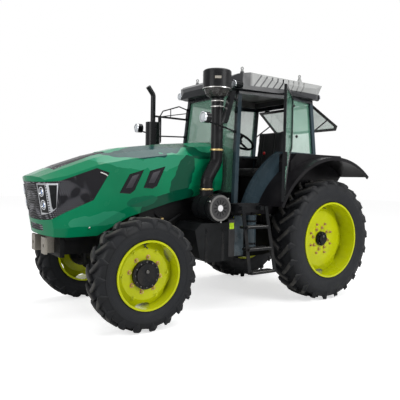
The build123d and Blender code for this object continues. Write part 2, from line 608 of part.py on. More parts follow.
def cab_frame():
    top = B_HEAD[2]
    parts = []
    for foot, head in ((A_FOOT, A_HEAD), (B_FOOT, B_HEAD), (C_FOOT, C_HEAD)):
        inset = PILLAR / 2
        parts.append(post((foot[0], foot[1] - inset, foot[2]), (head[0], head[1] - inset, top), PILLAR, PILLAR))
    # roof rails and waist rails follow the pillars in plan
    for low, high, feet in ((top - ROOF_RAIL, top, [A_HEAD, B_HEAD, C_HEAD]),
                            (B_FOOT[2] - WAIST_RAIL, B_FOOT[2], [B_FOOT, C_FOOT])):
        for p, q in zip(feet, feet[1:]):
            parts.append(plan_plate([(p[0] + PILLAR / 2, p[1]), (q[0] - PILLAR / 2, q[1]),
                                     (q[0] - PILLAR / 2, q[1] - PILLAR), (p[0] + PILLAR / 2, p[1] - PILLAR)],
                                    low, high))
    band = door_sill_band()
    left = parts[0].fuse(*parts[1:], band)
    across = []
    for p, low, high in ((A_HEAD, top - ROOF_RAIL, top), (C_HEAD, top - ROOF_RAIL, top),
                         (C_FOOT, C_FOOT[2] - WAIST_RAIL, C_FOOT[2])):
        across.append(block((p[0] - PILLAR / 2, p[0] + PILLAR / 2), (-p[1] + PILLAR / 2, p[1] - PILLAR / 2),
                            (low, high)))
    return left.fuse(mirrored(left), *across, *pillar_hinges(), *[mirrored(h) for h in pillar_hinges()])


def door_sill_band():
    """Curved sill from the platform up to the door pillar, lying over the fender."""
    axle_z = REAR_TYRE["radius"]
    inner = FENDER_RADIUS + SEAT_GAP
    ring = round_y(0, axle_z, inner + BAND_DEPTH, *BAND_Y) - round_y(0, axle_z, inner, 0, SILL_OUTER)
    rear = LEDGE_FRONT + LEDGE_SLOPE + SEAT_GAP
    band = ring & block((rear, SILL_FRONT), BAND_Y, (SILL_TOP, B_FOOT[2]))
    foot = block((B_FOOT[0] - PILLAR / 2, rear + 20), (BAND_Y[0], BAND_Y[1]),
                 (B_FOOT[2] - WAIST_RAIL, B_FOOT[2]))
    return band + foot


def door_plane():
    """Outer face of the left door opening: origin at the hinge pillar, z outwards."""
    forward = Vector(A_HEAD) - Vector(B_HEAD)
    up = Vector(B_HEAD) - Vector(B_FOOT)
    out = up.cross(forward).normalized()
    return Plane(origin=B_FOOT, x_dir=forward, z_dir=out)


def hinge_axis():
    """Line the left door turns about, pointing up."""
    up = (Vector(B_HEAD) - Vector(B_FOOT)).normalized()
    out = door_plane().z_dir
    origin = Vector(B_FOOT) + out * (DOOR_GAP + DOOR_THICKNESS / 2)
    return origin, up


def barrel(start, length):
    origin, up = hinge_axis()
    return bar(origin + up * start, origin + up * (start + length), HINGE_RADIUS)


def pillar_hinges():
    """Barrels on the door pillar, one above each barrel of the door, each on a block."""
    origin, up = hinge_axis()
    out = door_plane().z_dir
    hinges = []
    for start in HINGE_HEIGHTS:
        low = start + HINGE_LENGTH + FACE_GAP
        reach = DOOR_GAP + DOOR_THICKNESS / 2 + HINGE_SEAT
        foot = origin + up * low - out * reach
        seat = Plane(origin=foot, x_dir=out, z_dir=up) * Pos(0, 0, HINGE_LENGTH / 2) * Box(
            reach, HINGE_SEAT_WIDTH, HINGE_LENGTH, align=(Align.MIN, Align.CENTER, Align.CENTER))
        hinges.append(seat + barrel(low, HINGE_LENGTH))
    return hinges


def on_door_plane(x, z):
    """Point of the door opening's plane with this x and z."""
    plane = door_plane()
    o, n = plane.origin, plane.z_dir
    y = o.Y - (n.X * (x - o.X) + n.Z * (z - o.Z)) / n.Y
    return Vector(x, y, z)


def door_profile():
    """Side view of the left door, its lower rear edge an arc round the rear wheel."""
    rear = HINGE_STANDOFF + DOOR_REAR_GAP
    rear_low_z = B_FOOT[2] + DOOR_REAR_LOW
    corners = ((at_height(B_FOOT, B_HEAD, rear_low_z)[0] + rear, rear_low_z),
               (at_height(B_FOOT, B_HEAD, DOOR_TOP)[0] + rear, DOOR_TOP),
               (at_height(A_FOOT, A_HEAD, DOOR_TOP)[0] - 6, DOOR_TOP),
               (at_height(A_FOOT, A_HEAD, DOOR_BASE)[0] - 6, DOOR_BASE),
               (at_height(B_FOOT, B_HEAD, DOOR_BASE)[0] + rear, DOOR_BASE))
    face = make_face(Polyline(*[(x, 0, z) for x, z in corners], close=True))
    wheel_zone = round_y(0, REAR_TYRE["radius"], DOOR_SILL_RADIUS, -10, 10)
    return (face - wheel_zone).faces().sort_by(SortBy.AREA)[-1]


def door_layer(profile, start, thickness):
    """Plate with this side view, parallel to the door opening, from start outwards."""
    plane = door_plane()
    slab = plane * Pos(0, 0, start + thickness / 2) * Box(4000, 4000, thickness)
    return extrude(profile, amount=1000, dir=(0, 1, 0)) & slab


def door():
    """Left door shut: frame with its hinge barrels and handle, and its pane."""
    out = door_plane().z_dir
    outline = door_profile()
    inner = offset(outline, amount=-DOOR_BORDER, kind=Kind.INTERSECTION).faces()[0]
    frame = door_layer(outline - inner, DOOR_GAP, DOOR_THICKNESS)
    pane = door_layer(inner, DOOR_GAP + (DOOR_THICKNESS - GLASS) / 2, GLASS)
    origin, up = hinge_axis()
    forward = door_plane().x_dir
    for start in HINGE_HEIGHTS:
        tab = Plane(origin=origin + up * start, x_dir=forward, z_dir=up) * Pos(15, 0, HINGE_LENGTH / 2) * Box(
            30, 12, HINGE_LENGTH)
        frame = frame.fuse(tab, barrel(start, HINGE_LENGTH))
    grip = at_height(A_FOOT, A_HEAD, 1640)
    grip = on_door_plane(grip[0] - 26, 1640) + out * (DOOR_GAP + DOOR_THICKNESS)
    handle = Plane(origin=grip, x_dir=forward, z_dir=up) * Box(22, 36, 150)
    return frame.fuse(handle), pane


def cab_rear_panel():
    x = C_FOOT[0]
    return block((x - 20, x + 20), (-FLOOR_HALF + 2, FLOOR_HALF - 2), (FLOOR_Z + FLOOR_THICKNESS, C_FOOT[2] - WAIST_RAIL))


def slanted_pane(corners, thickness, outward):
    """Flat pane through its corners, thickened along outward."""
    return extrude(make_face(Polyline(*corners, close=True)), amount=thickness, dir=outward)


def cab_windows():
    """Windscreen and the two fixed quarter windows."""
    low = at_height(A_FOOT, A_HEAD, WINDSCREEN_BASE)
    high = at_height(A_FOOT, A_HEAD, B_HEAD[2] - ROOF_RAIL - 2)
    inset = PILLAR + 2
    corners = [(low[0], low[1] - inset, low[2]), (high[0], high[1] - inset, high[2]),
               (high[0], -high[1] + inset, high[2]), (low[0], -low[1] + inset, low[2])]
    windscreen = slanted_pane(corners, GLASS, (1, 0, 0))
    b_low, b_high = at_height(B_FOOT, B_HEAD, B_FOOT[2] + 1), at_height(B_FOOT, B_HEAD, B_HEAD[2] - ROOF_RAIL - 1)
    c_low, c_high = at_height(C_FOOT, C_HEAD, C_FOOT[2] + 1), at_height(C_FOOT, C_HEAD, C_HEAD[2] - ROOF_RAIL - 1)
    mid = PILLAR / 2
    gap = PILLAR / 2 + 1
    pane = loft([make_face(Polyline((b[0] - gap, b[1] - mid, b[2]), (b[0] - gap, b[1] - mid - GLASS, b[2]),
                                    (c[0] + gap, c[1] - mid - GLASS, c[2]), (c[0] + gap, c[1] - mid, c[2]), close=True))
                 for b, c in ((b_low, c_low), (b_high, c_high))], ruled=True)
    return Compound(children=[*windscreen.solids(), *pane.solids(), *mirrored(pane).solids()])


def rear_window():
    """Raised rear window: pane with a border, its two hinges and gas struts."""
    x, z = REAR_WINDOW_HINGE
    a = radians(REAR_WINDOW_OPEN)
    down = Vector(-sin(a), 0, -cos(a))
    normal = Vector(-cos(a), 0, sin(a))
    plane = Plane(origin=(x, 0, z), x_dir=(0, 1, 0), z_dir=normal)
    sign = 1 if plane.y_dir.dot(down) > 0 else -1
    length = REAR_WINDOW_LENGTH
    outline = [(-505, 0), (505, 0), (590, length - 75), (520, length), (-520, length), (-590, length - 75)]
    face = plane * make_face(Polyline(*[(u, sign * v) for u, v in outline], close=True))
    inner = offset(face, amount=-REAR_WINDOW_BORDER, kind=Kind.INTERSECTION).faces()[0]
    frame = extrude(face - inner, amount=14, dir=normal)
    pane = extrude(Pos(*(normal * 4)) * inner, amount=GLASS, dir=normal)
    hinges = [block((C_HEAD[0] - PILLAR / 2 - 40, C_HEAD[0] - PILLAR / 2), (s * 330 - 30, s * 330 + 30), (z - 5, z + 25))
              for s in (1, -1)]
    foot_at = at_height(C_FOOT, C_HEAD, STRUT_FOOT_Z)
    strut_foot = Vector(foot_at[0] - PILLAR / 2 - STRUT_OFFSET, STRUT_Y, STRUT_FOOT_Z)
    strut_head = Vector(x, STRUT_Y, z) + down * STRUT_HEAD_DOWN - normal * STRUT_OFFSET
    strut = bar(strut_foot, strut_head, STRUT_RADIUS)
    foot_pin = bar(strut_foot, strut_foot + Vector(STRUT_OFFSET - SEAT_GAP, 0, 0), STRUT_PIN)
    head_pin = bar(strut_head, strut_head + normal * (STRUT_OFFSET - SEAT_GAP), STRUT_PIN)
    strut = strut.fuse(foot_pin, head_pin)
    frame = frame.fuse(*hinges)
    return frame, pane, both(strut)


def rear_fender():
    """Left rear fender: arched skin with a lip, inner wall beside the cab and a ledge on top."""
    z = REAR_TYRE["radius"]
    outer = round_y(0, z, FENDER_RADIUS, FENDER_INNER, FENDER_OUTER)
    shell = outer - round_y(0, z, FENDER_RADIUS - FENDER_SKIN, FENDER_INNER + FENDER_SKIN, FENDER_OUTER + 1)
    lip = round_y(0, z, FENDER_RADIUS, FENDER_OUTER - 14, FENDER_OUTER) - round_y(
        0, z, FENDER_RADIUS - FENDER_LIP, FENDER_OUTER - 15, FENDER_OUTER + 1)
    far = 3 * FENDER_RADIUS
    a, b = radians(FENDER_START), radians(FENDER_END)
    wedge = side_plate([(0, z), (far * cos(a), z + far * sin(a)), (far, z + far), (-far, z + far),
                        (far * cos(b), z + far * sin(b))], FENDER_INNER - 1, FENDER_OUTER + 1)
    fender = (shell + lip) & wedge
    inner_wall = block((-60, FENDER_RADIUS), (FENDER_INNER, FENDER_INNER + FENDER_SKIN), (FLOOR_Z, LEDGE_TOP))
    inner_wall &= round_y(0, z, FENDER_RADIUS, FENDER_INNER - 1, FENDER_OUTER)
    fender -= block((-far, far), (0, FENDER_INNER + FENDER_SKIN), (0, FLOOR_Z))
    ledge = side_plate([(LEDGE_REAR, z), (LEDGE_FRONT + LEDGE_SLOPE, z),
                        (LEDGE_FRONT + LEDGE_SLOPE, LEDGE_TOP - LEDGE_SLOPE), (LEDGE_FRONT, LEDGE_TOP),
                        (LEDGE_REAR + 30, LEDGE_TOP), (LEDGE_REAR, LEDGE_TOP - 30)], FENDER_INNER, LEDGE_OUTER)
    ledge -= round_y(0, z, FENDER_RADIUS - FENDER_SKIN / 2, 0, FENDER_OUTER + 1)
    return fender.fuse(inner_wall, ledge)


def tail_lamps():
    lamp = block((LEDGE_REAR - 26, LEDGE_REAR), (FENDER_INNER + 60, LEDGE_OUTER - 30), (LEDGE_TOP - 62, LEDGE_TOP - 30))
    lamp -= round_y(0, REAR_TYRE["radius"], FENDER_RADIUS, 0, FENDER_OUTER)
    return both(lamp)


def lifting_eye(x, y, z):
    """Cone on the roof with an upright plate and its hole."""
    cone = loft([Plane(origin=(x, y, z)) * Circle(36), Plane(origin=(x, y, z + 62)) * Circle(14)])
    plate = round_y(x, z + 78, 20, y - 5, y + 5)
    return cone.fuse(plate) - round_y(x, z + 78, 11, y - 6, y + 6)


def roof_barrel(inset):
    """Roof seen from the front and from above, drawn in by the inset."""
    left = [(0, y - inset, z) for y, z in ROOF_FRONT[:-1]]
    front_points = left + [(0, *ROOF_FRONT[-1])] + [(0, -y, z) for _, y, z in reversed(left)]
    front = extrude(Pos(-300, 0, 0) * make_face(Polyline(*front_points, close=True)), amount=1700, dir=(1, 0, 0))
    edge = [(x, max(y - inset, 0)) for x, y in ROOF_PLAN]
    return front & plan_plate(edge + [(x, -y) for x, y in reversed(edge[1:-1])], 2400, 2800)


def roof_grooves():
    """Slanted grooves of both rear sides."""
    low, high = ROOF_GROOVE_Z
    plates = []
    for n in range(ROOF_GROOVES):
        x = ROOF_GROOVE_FIRST - n * ROOF_GROOVE_STEP
        outline = [(x, high), (x + ROOF_GROOVE_WIDTH, high), (x + ROOF_GROOVE_LEAN + ROOF_GROOVE_WIDTH, low),
                   (x + ROOF_GROOVE_LEAN, low)]
        plates += [side_plate(outline, 500, 720), side_plate(outline, -720, -500)]
    core = roof_barrel(ROOF_GROOVE_DEPTH)
    return [plate - core for plate in plates]


def cab_roof():
    roof = side_plate(ROOF_SIDE, -700, 700) & roof_barrel(0)
    roof -= roof_grooves()
    headliner = block((60, 1040), (-430, 430), (2400, 2540))
    roof -= headliner
    for x0, x1, y, z, r in ROOF_LAMPS:
        for s in (1, -1):
            end = x1 + 200 if x1 > x0 else x1 - 200
            roof -= bar((x0 - (x1 - x0) * 0.01, s * y, z), (end, s * y, z), r + SEAT_GAP)
    eyes = []
    for x, y, z in LIFTING_EYES:
        for s in (1, -1):
            eyes.append(lifting_eye(x, s * y, z))
    return roof.fuse(*eyes)


def seat_base():
    pedestal = loft([Plane(origin=(330, 0, FLOOR_Z + FLOOR_THICKNESS)) * Rectangle(420, 360),
                     Plane(origin=(330, 0, 1480)) * Rectangle(360, 380)], ruled=True)
    console = side_plate([(-20, 1100), (700, 1100), (760, 1420), (640, 1560), (200, 1600), (-20, 1600)], -520, -330)
    shelf = side_plate([(-20, 1100), (300, 1100), (260, 1420), (-20, 1440)], 330, 520)
    return Compound(children=[*pedestal.solids(), *console.solids(), *shelf.solids()])


def seat_cushion():
    pad = block((120, 590), (-240, 240), (1480, 1610))
    return fillet(pad.edges().filter_by(Axis.Z), 70)


def seat_back():
    back = side_plate([(120, 1610.3), (225, 1610.3), (150, 2090), (70, 2090)], -225, 225)
    return fillet(back.edges().filter_by(Axis.Y).sort_by(Axis.Z)[-2:], 30)


def dashboard():
    cowl = side_plate([(860, 1100), (FLOOR_FRONT - 16, 1100), (FLOOR_FRONT - 16, 1300), (1180, 1300), (1150, 1760),
                       (1080, 1850), (920, 1850), (860, 1560)], -190, 190)
    a = radians(WHEEL_TILT)
    cx, cz = WHEEL_CENTRE
    up = Vector(-sin(a), 0, cos(a))
    centre = Vector(cx, 0, cz)
    column = bar(centre - up * (30 + FACE_GAP), centre - up * 360, 34)
    return cowl + column


def steering_wheel():
    a = radians(WHEEL_TILT)
    cx, cz = WHEEL_CENTRE
    plane = Plane(origin=(cx, 0, cz), x_dir=(0, 1, 0), z_dir=(-sin(a), 0, cos(a)))
    wheel = Torus(WHEEL_RING, 15) + Pos(0, 0, -10) * Cylinder(45, 40)
    for n in range(3):
        spoke = Rot(0, 0, 90 + 120 * n) * Pos(WHEEL_RING / 2 + 10, 0, -8) * Box(WHEEL_RING - 20, 34, 12)
        wheel += spoke
    return plane * wheel


# ---- bodywork in front of the cab ---------------------------------------------------------------
def bulkhead():
    """Panel between hood and cab, with the two pivots that the hood turns on."""
    x0, x1 = BULKHEAD_X, BULKHEAD_X + BULKHEAD_THICKNESS
    outline = [(x0, -170, BELL_TOP), (x0, -340, BELL_TOP + 150), (x0, -340, 1680), (x0, -270, 1790),
               (x0, 270, 1790), (x0, 340, 1680), (x0, 340, BELL_TOP + 150), (x0, 170, BELL_TOP)]
    panel = extrude(make_face(Polyline(*outline, close=True)), amount=x1 - x0, dir=(1, 0, 0))
    for s in (1, -1):
        inner, outer = sorted((s * 70, s * (HOOD_EAR_Y - FACE_GAP)))
        panel += block((x1 - 2, HINGE_X), (inner, outer), (HINGE_Z - 60, HINGE_Z))
        panel += round_y(HINGE_X, HINGE_Z, HOOD_PIVOT_RADIUS, inner, outer)
    return panel


def hood_section(row, inset, drop):
    """Half-turned section of the hood at one station; inset is the skin taken off, drop opens its foot."""
    x, foot, low, crease, shoulder, crown, width = row
    half = [(HOOD_HALF_FOOT * width - inset, foot - drop), (HOOD_HALF * width - inset, low),
            (HOOD_HALF * width - inset, crease - inset / 2), (HOOD_HALF_SHOULDER * width - inset / 2, shoulder - inset),
            (HOOD_HALF_FLAT * width, crown - inset)]
    points = [(x, y, z) for y, z in half] + [(x, -y, z) for y, z in reversed(half)]
    return make_face(Polyline(*points, close=True))


def hood_solid(inset, drop):
    """Hood filled in: ruled between its stations, with the raked round nose."""
    rows = [list(r) for r in HOOD_STATIONS]
    rows[0][0] -= 2 * inset
    body = loft([hood_section(r, inset, drop) for r in rows], ruled=True)
    rake = radians(NOSE_RAKE)
    axis_up = Vector(sin(rake), 0, cos(rake))
    centre = Vector(NOSE_X - inset, 0, NOSE_TOP_Z) - Vector(cos(rake), 0, -sin(rake)) * NOSE_RADIUS
    nose = bar(centre - axis_up * 2500, centre + axis_up * 2500, NOSE_RADIUS)
    return body & nose


def hood_pieces():
    outer = hood_solid(0, 0)
    inner = hood_solid(HOOD_SKIN, 30)
    recess = hood_solid(4, 30)
    shell = outer - inner
    opening = side_plate(FRONT_OPENING, -500, 500)
    vents = [side_plate(v, -500, 500) for v in VENT_OPENINGS]
    mesh = plan_plate(TOP_MESH, 1300, 2000)
    mesh -= opening
    cowl_zone = block((COWL_SEAM_X, 3600), (-500, 500), (600, COWL_TOP))
    panel = recess - inner
    lamp_zone = side_plate(LAMP_OUTLINE, LAMP_INNER, 500)
    lamp_core = hood_solid(2, 30) - hood_solid(46, 60)
    lamp = lamp_zone & lamp_core & opening
    lamps = both(lamp)
    cavity = [lamp_zone, mirrored(lamp_zone)]
    grilles = [opening & panel]
    grilles[0] = grilles[0] - cavity
    grilles += [v & panel for v in vents]
    grilles.append(mesh & panel)
    slot = block((3150, 3500), (-190, 190), (925, 985))
    cowl = (shell & cowl_zone) - opening - slot
    grilles.append(slot & panel & cowl_zone)
    top = shell - cowl_zone - opening - vents - mesh
    ears = []
    for s in (1, -1):
        y0, y1 = sorted((s * HOOD_EAR_Y, s * (HOOD_EAR_Y + HOOD_EAR_THICKNESS)))
        ears.append(block((HINGE_X - 20, HINGE_X + 24), (y0, y1), (HINGE_Z, HOOD_STATIONS[0][5] - 12)))
        ears.append(round_y(HINGE_X, HINGE_Z, HOOD_PIVOT_RADIUS, y0, y1))
    top = top.fuse(*ears)
    grille_solids = Compound(children=[s for g in grilles for s in g.solids()])
    return top, cowl, grille_solids, lamps


# ---- fittings -----------------------------------------------------------------------------------


def fuel_tank():
    t = TANK
    low_top = AIR_CLEANER["z"] - AIR_CLEANER["radius"] - 14
    tank = side_plate([(t["rear"], t["base"] + 30), (t["rear"], t["top"]), (t["rear"] + 85, t["top"]),
                       (t["rear"] + 98, low_top), (t["front"] - 40, low_top), (t["front"] + 40, low_top - 70),
                       (t["front"] - 30, t["base"] + 50), (t["front"] - 140, t["base"]),
                       (t["rear"] + 30, t["base"])], t["inner"], t["outer"])
    saddle = block((t["rear"] + 80, t["rear"] + 160), (ENGINE_HALF, t["inner"]), (660, 960))
    saddle += block((t["front"] - 160, t["front"] - 80), (ENGINE_HALF, t["inner"]), (660, 960))
    filler = round_z(t["rear"] + 46, t["outer"] - 90, 34, t["top"], t["top"] + 22)
    return tank.fuse(saddle, filler)


def battery_box():
    t = TANK
    box_ = block((t["rear"], t["front"] - 80), (-t["outer"], -t["inner"]), (620, 980))
    box_ = fillet(box_.edges().filter_by(Axis.Z), 25)
    saddle = block((t["rear"] + 80, t["rear"] + 160), (-t["inner"], -ENGINE_HALF), (660, 960))
    reservoir = round_z(*RESERVOIR["place"], RESERVOIR["radius"], RESERVOIR["base"], FLOOR_Z)
    guard = block(GUARD_PLATE["x"], GUARD_PLATE["y"], (GUARD_PLATE["base"], FLOOR_Z))
    # its flange turns in under the platform
    guard += block(GUARD_PLATE["x"], (FLOOR_HALF - 25, GUARD_PLATE["y"][1]), (FLOOR_Z - 12, FLOOR_Z))
    return Compound(children=[*(box_ + saddle).solids(), *both(reservoir).solids(), guard])


def ladder():
    """Left ladder: two leaning flat rails and three treads, hung from the platform's edge."""
    l = LADDER
    y = (l["inner"] + l["outer"]) / 2
    rails = []
    for top_x, foot_x in ((l["front_top"], l["front_foot"]), (l["rear_top"], l["rear_foot"])):
        rails.append(side_plate([(top_x - 22, SILL_TOP - 20), (top_x + 22, SILL_TOP - 20), (foot_x + 22, l["foot"]),
                                 (foot_x - 22, l["foot"])], y - 6, y + 6))
    treads = []
    for z in (430, 690, 930):
        share = (z - l["foot"]) / (SILL_TOP - 20 - l["foot"])
        front = l["front_foot"] + (l["front_top"] - l["front_foot"]) * share
        rear = l["rear_foot"] + (l["rear_top"] - l["rear_foot"]) * share
        treads.append(block((rear, front), (l["inner"] - 60, l["outer"]), (z - 12, z + 12)))
    hangers = [block((x - 22, x + 22), (SILL_OUTER, y + 6), (SILL_TOP - 60, SILL_TOP - 20))
               for x in (l["front_top"] - 30, l["rear_top"] + 60)]
    return rails[0].fuse(rails[1], *treads, *hangers)


def air_cleaner():
    c = AIR_CLEANER
    can = revolve_y([(c["inner"], 0), (c["inner"], c["radius"] - 14), (c["inner"] + 14, c["radius"]),
                     (c["outer"] - 46, c["radius"]), (c["outer"] - 46, c["radius"] + 6), (c["outer"] - 30, c["radius"] + 6),
                     (c["outer"] - 30, c["radius"]), (c["outer"], c["radius"] - 10), (c["outer"], 92), (c["outer"] - 8, 88),
                     (c["outer"] - 8, 0)], c["x"], c["z"])
    slots = []
    for n in range(10):
        angle = 36 * n
        slots.append(Pos(c["x"], 0, c["z"]) * Rot(0, angle, 0) * block((46, 80), (c["outer"] - 16, c["outer"] - 4), (-7, 7)))
    can -= slots
    bracket = block((c["x"] - 40, c["x"] + 40), (ENGINE_HALF, c["inner"] + 5), (c["z"] - 60, c["z"] + 60))
    return can + bracket


def intake_duct():
    """Ribbed hose off the air cleaner and the straight stack above it, with clamps."""
    c = AIR_CLEANER
    rise = sqrt(c["radius"] ** 2 - (DUCT_FOOT_X - c["x"]) ** 2)
    hose = pipe([(DUCT_FOOT_X, DUCT_Y, c["z"] + c["radius"] + 6), (DUCT_FOOT_X, DUCT_Y, 1440),
                 (DUCT_TOP_X, DUCT_Y, 1640), (DUCT_TOP_X, DUCT_Y, DUCT_HEAD_Z)], DUCT_RADIUS, 150)
    foot = round_z(DUCT_FOOT_X, DUCT_Y, DUCT_RADIUS + 8, c["z"] + rise - 60, 1340)
    foot -= round_y(c["x"], c["z"], c["radius"] + SEAT_GAP, 0, 1000)
    clamps = [round_z(DUCT_TOP_X, DUCT_Y, DUCT_RADIUS + 5, z, z + 16) for z in (1760, 2232)]
    return hose.fuse(foot, *clamps)


def precleaner():
    """Bowl and drum on the duct's head."""
    x, y = DUCT_TOP_X + 12, DUCT_Y
    base = DUCT_HEAD_Z
    profile = [(0, base), *[(r, base + h) for r, h in PRECLEANER_SIDE], (0, base + PRECLEANER_SIDE[-1][1])]
    face = make_face(Polyline(*[(x + r, y, z) for r, z in profile], close=True))
    return revolve(face, axis=Axis((x, y, 0), (0, 0, 1)))


def exhaust_stack():
    """Muffler beside the hood with an elbow from the engine and a pipe with a curved tip."""
    x, y = 1680, -505
    muffler = round_z(x, y, 90, 1480, 2140)
    stack = pipe([(x, y, 2130), (x, y, 2480), (x + 75, y, 2575)], 31, 60)
    elbow = pipe([(x, y, 1485), (x, y, 1200), (x, -ENGINE_HALF, 1200)], 36, 80)
    return muffler.fuse(stack, elbow)


def pillar_pad(z):
    """Round pad on the front face of the left front pillar, for an arm to leave from."""
    at = at_height(A_FOOT, A_HEAD, z)
    lean = (A_FOOT[0] - A_HEAD[0]) / (A_HEAD[2] - A_FOOT[2])
    start = at[0] + PILLAR / 2 + PAD_RADIUS * lean + SEAT_GAP
    return bar((start, at[1] - PILLAR / 2, z), (start + 16, at[1] - PILLAR / 2, z), PAD_RADIUS)


def side_mirror(side):
    """Mirror of one side, modelled on the left: arm, looped bracket off the front pillar and head."""
    high, low = pillar_pad(MIRROR_ROOTS[1]), pillar_pad(MIRROR_ROOTS[0])
    clear = Vector(6, 0, 0)
    root, foot, post = high.center() + clear, low.center() + clear, Vector(MIRROR_POST)
    reach = (post - foot).normalized()
    arm = bar(foot, post + reach * 90, MIRROR_ARM)
    corners = (root, root + Vector(60, 100, 50), post + Vector(-32, -28, 74), post)
    loop = [bar(p, q, MIRROR_LOOP) for p, q in zip(corners, corners[1:])]
    rod = bar(root - Vector(0, 0, 45), post, MIRROR_LOOP - 2)
    plate = bar(root, foot, MIRROR_LOOP)
    strut_at = foot + (post - foot) * 0.58
    strut = bar(strut_at, strut_at + Vector(0, 0, 115), MIRROR_LOOP - 2)
    (x, y, top), (lean_x, lean_y), turn = MIRROR_HEADS[side]
    turn = radians(turn)
    length = MIRROR_OUTLINE[0][0]
    head = loft([Plane(origin=(x + lean_x * drop / length, y + lean_y * drop / length, top - drop),
                       x_dir=(cos(turn), sin(turn), 0), z_dir=(0, 0, 1)) * Rectangle(width, MIRROR_DEPTH)
                 for drop, width in MIRROR_OUTLINE], ruled=True)
    neck = bar(post + Vector(4, 3, 5), (x, y, top - 22), MIRROR_ARM + 2)
    return arm.fuse(*loop, rod, plate, strut, neck, head, high, low)


def stalk_lamp():
    """Left lamp on a thin arm from the front pillar."""
    pad = pillar_pad(1990)
    root = pad.center()
    x, y, z = 1770, 730, 2080
    arm = pipe([(root.X, root.Y, 1990), (1450, 690, 1995), (x, y, 2050)], 9, 80)
    head = bar((x - 50, y, z), (x + 24, y, z), 56)
    return arm.fuse(head, pad)


def work_lamps():
    """Stalk lamps, four lamps under the roof's front edge and two under its rear edge."""
    lamps = [stalk_lamp()]
    for x0, x1, y, z, r in ROOF_LAMPS:
        lamps.append(bar((x0, y, z), (x1, y, z), r))
    solids = []
    for lamp in lamps:
        solids += [*lamp.solids(), *mirrored(lamp).solids()]
    return Compound(children=solids)


# ---- assembly -----------------------------------------------------------------------------------
def place_wheel(shape, tyre_table, x, side):
    """Put a wheel piece on its axle; side is 1 on the left and -1 on the right."""
    shape = shape if side > 0 else mirrored(shape)
    return Pos(x, side * tyre_table["track"] / 2, tyre_table["radius"]) * shape


def main():
    os.makedirs("parts", exist_ok=True)
    axle_gap = {"rear": TRUMPET_END, "front": SPINDLE_END_Y}
    for name, table, rim_table, hub_table, x in (("rear", REAR_TYRE, REAR_RIM, REAR_HUB, 0),
                                                 ("front", FRONT_TYRE, FRONT_RIM, FRONT_HUB, WHEELBASE)):
        tyre_shape, rim_shape = tyre(table, rim_table), rim(table, rim_table)
        disc_back = table["track"] / 2 + rim_table["width"] / 2 - rim_table["disc_in"] - rim_table["disc_skin"]
        hub_parts = Compound(children=[s for h in hub(rim_table, hub_table, disc_back - axle_gap[name] - FACE_GAP)
                                       for s in h.solids()])
        for side, word in ((1, "left"), (-1, "right")):
            save(place_wheel(tyre_shape, table, x, side), f"tyre_{name}_{word}")
            save(place_wheel(rim_shape, table, x, side), f"rim_{name}_{word}")
            save(place_wheel(hub_parts, table, x, side), f"hub_{name}_{word}")

    save(front_bolster(), "front_bolster")
    save(front_plates(), "front_plates")
    save(engine_block(), "engine_block")
    save(radiator(), "radiator")
    save(transmission_housing(), "transmission_housing")
    save(rear_axle_housing(), "rear_axle_housing")
    save(front_axle(), "front_axle_beam")
    save(knuckle(), "knuckle_left")
    save(mirrored(knuckle()), "knuckle_right")
    save(tie_rod(), "tie_rod")
    save(both(lower_link()), "lower_links")
    save(both(lift_arm()), "lift_arms")
    save(lift_rods(), "lift_rods")
    save(pto_shaft(), "pto_shaft")

    save(cab_floor(), "cab_floor")
    save(cab_frame(), "cab_frame")
    save(cab_rear_panel(), "cab_rear_panel")
    save(cab_roof(), "cab_roof")
    save(cab_windows(), "cab_windows")
    window_frame, window_pane, struts = rear_window()
    save(window_frame, "rear_window_frame")
    save(window_pane, "rear_window_glass")
    save(struts, "rear_window_struts")
    save(both(rear_fender()), "rear_fenders")
    save(tail_lamps(), "tail_lamps")
    save(seat_base(), "seat_base")
    save(seat_cushion(), "seat_cushion")
    save(seat_back(), "seat_back")
    save(dashboard(), "dashboard")
    save(steering_wheel(), "steering_wheel")

    frame, pane = door()
    origin, up = hinge_axis()
    save(frame.rotate(Axis(origin, up), DOOR_OPEN), "door_left_frame")
    save(pane.rotate(Axis(origin, up), DOOR_OPEN), "door_left_glass")
    save(mirrored(frame), "door_right_frame")
    save(mirrored(pane), "door_right_glass")

    save(bulkhead(), "bulkhead")
    top, cowl, grilles, lamps = hood_pieces()
    save(top, "hood_shell")
    save(cowl, "nose_cowl")
    save(grilles, "hood_grilles")
    save(lamps, "headlamps")

    save(fuel_tank(), "fuel_tank")
    save(battery_box(), "battery_box")
    save(both(ladder()), "ladders")
    save(air_cleaner(), "air_cleaner")
    save(intake_duct(), "intake_duct")
    save(precleaner(), "precleaner")
    save(exhaust_stack(), "exhaust_stack")
    save(Compound(children=[side_mirror("left"), mirrored(side_mirror("right"))]), "mirrors")
    save(work_lamps(), "work_lamps")


main()
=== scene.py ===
import math

import bmesh
import bpy
from mathutils import Matrix, Vector


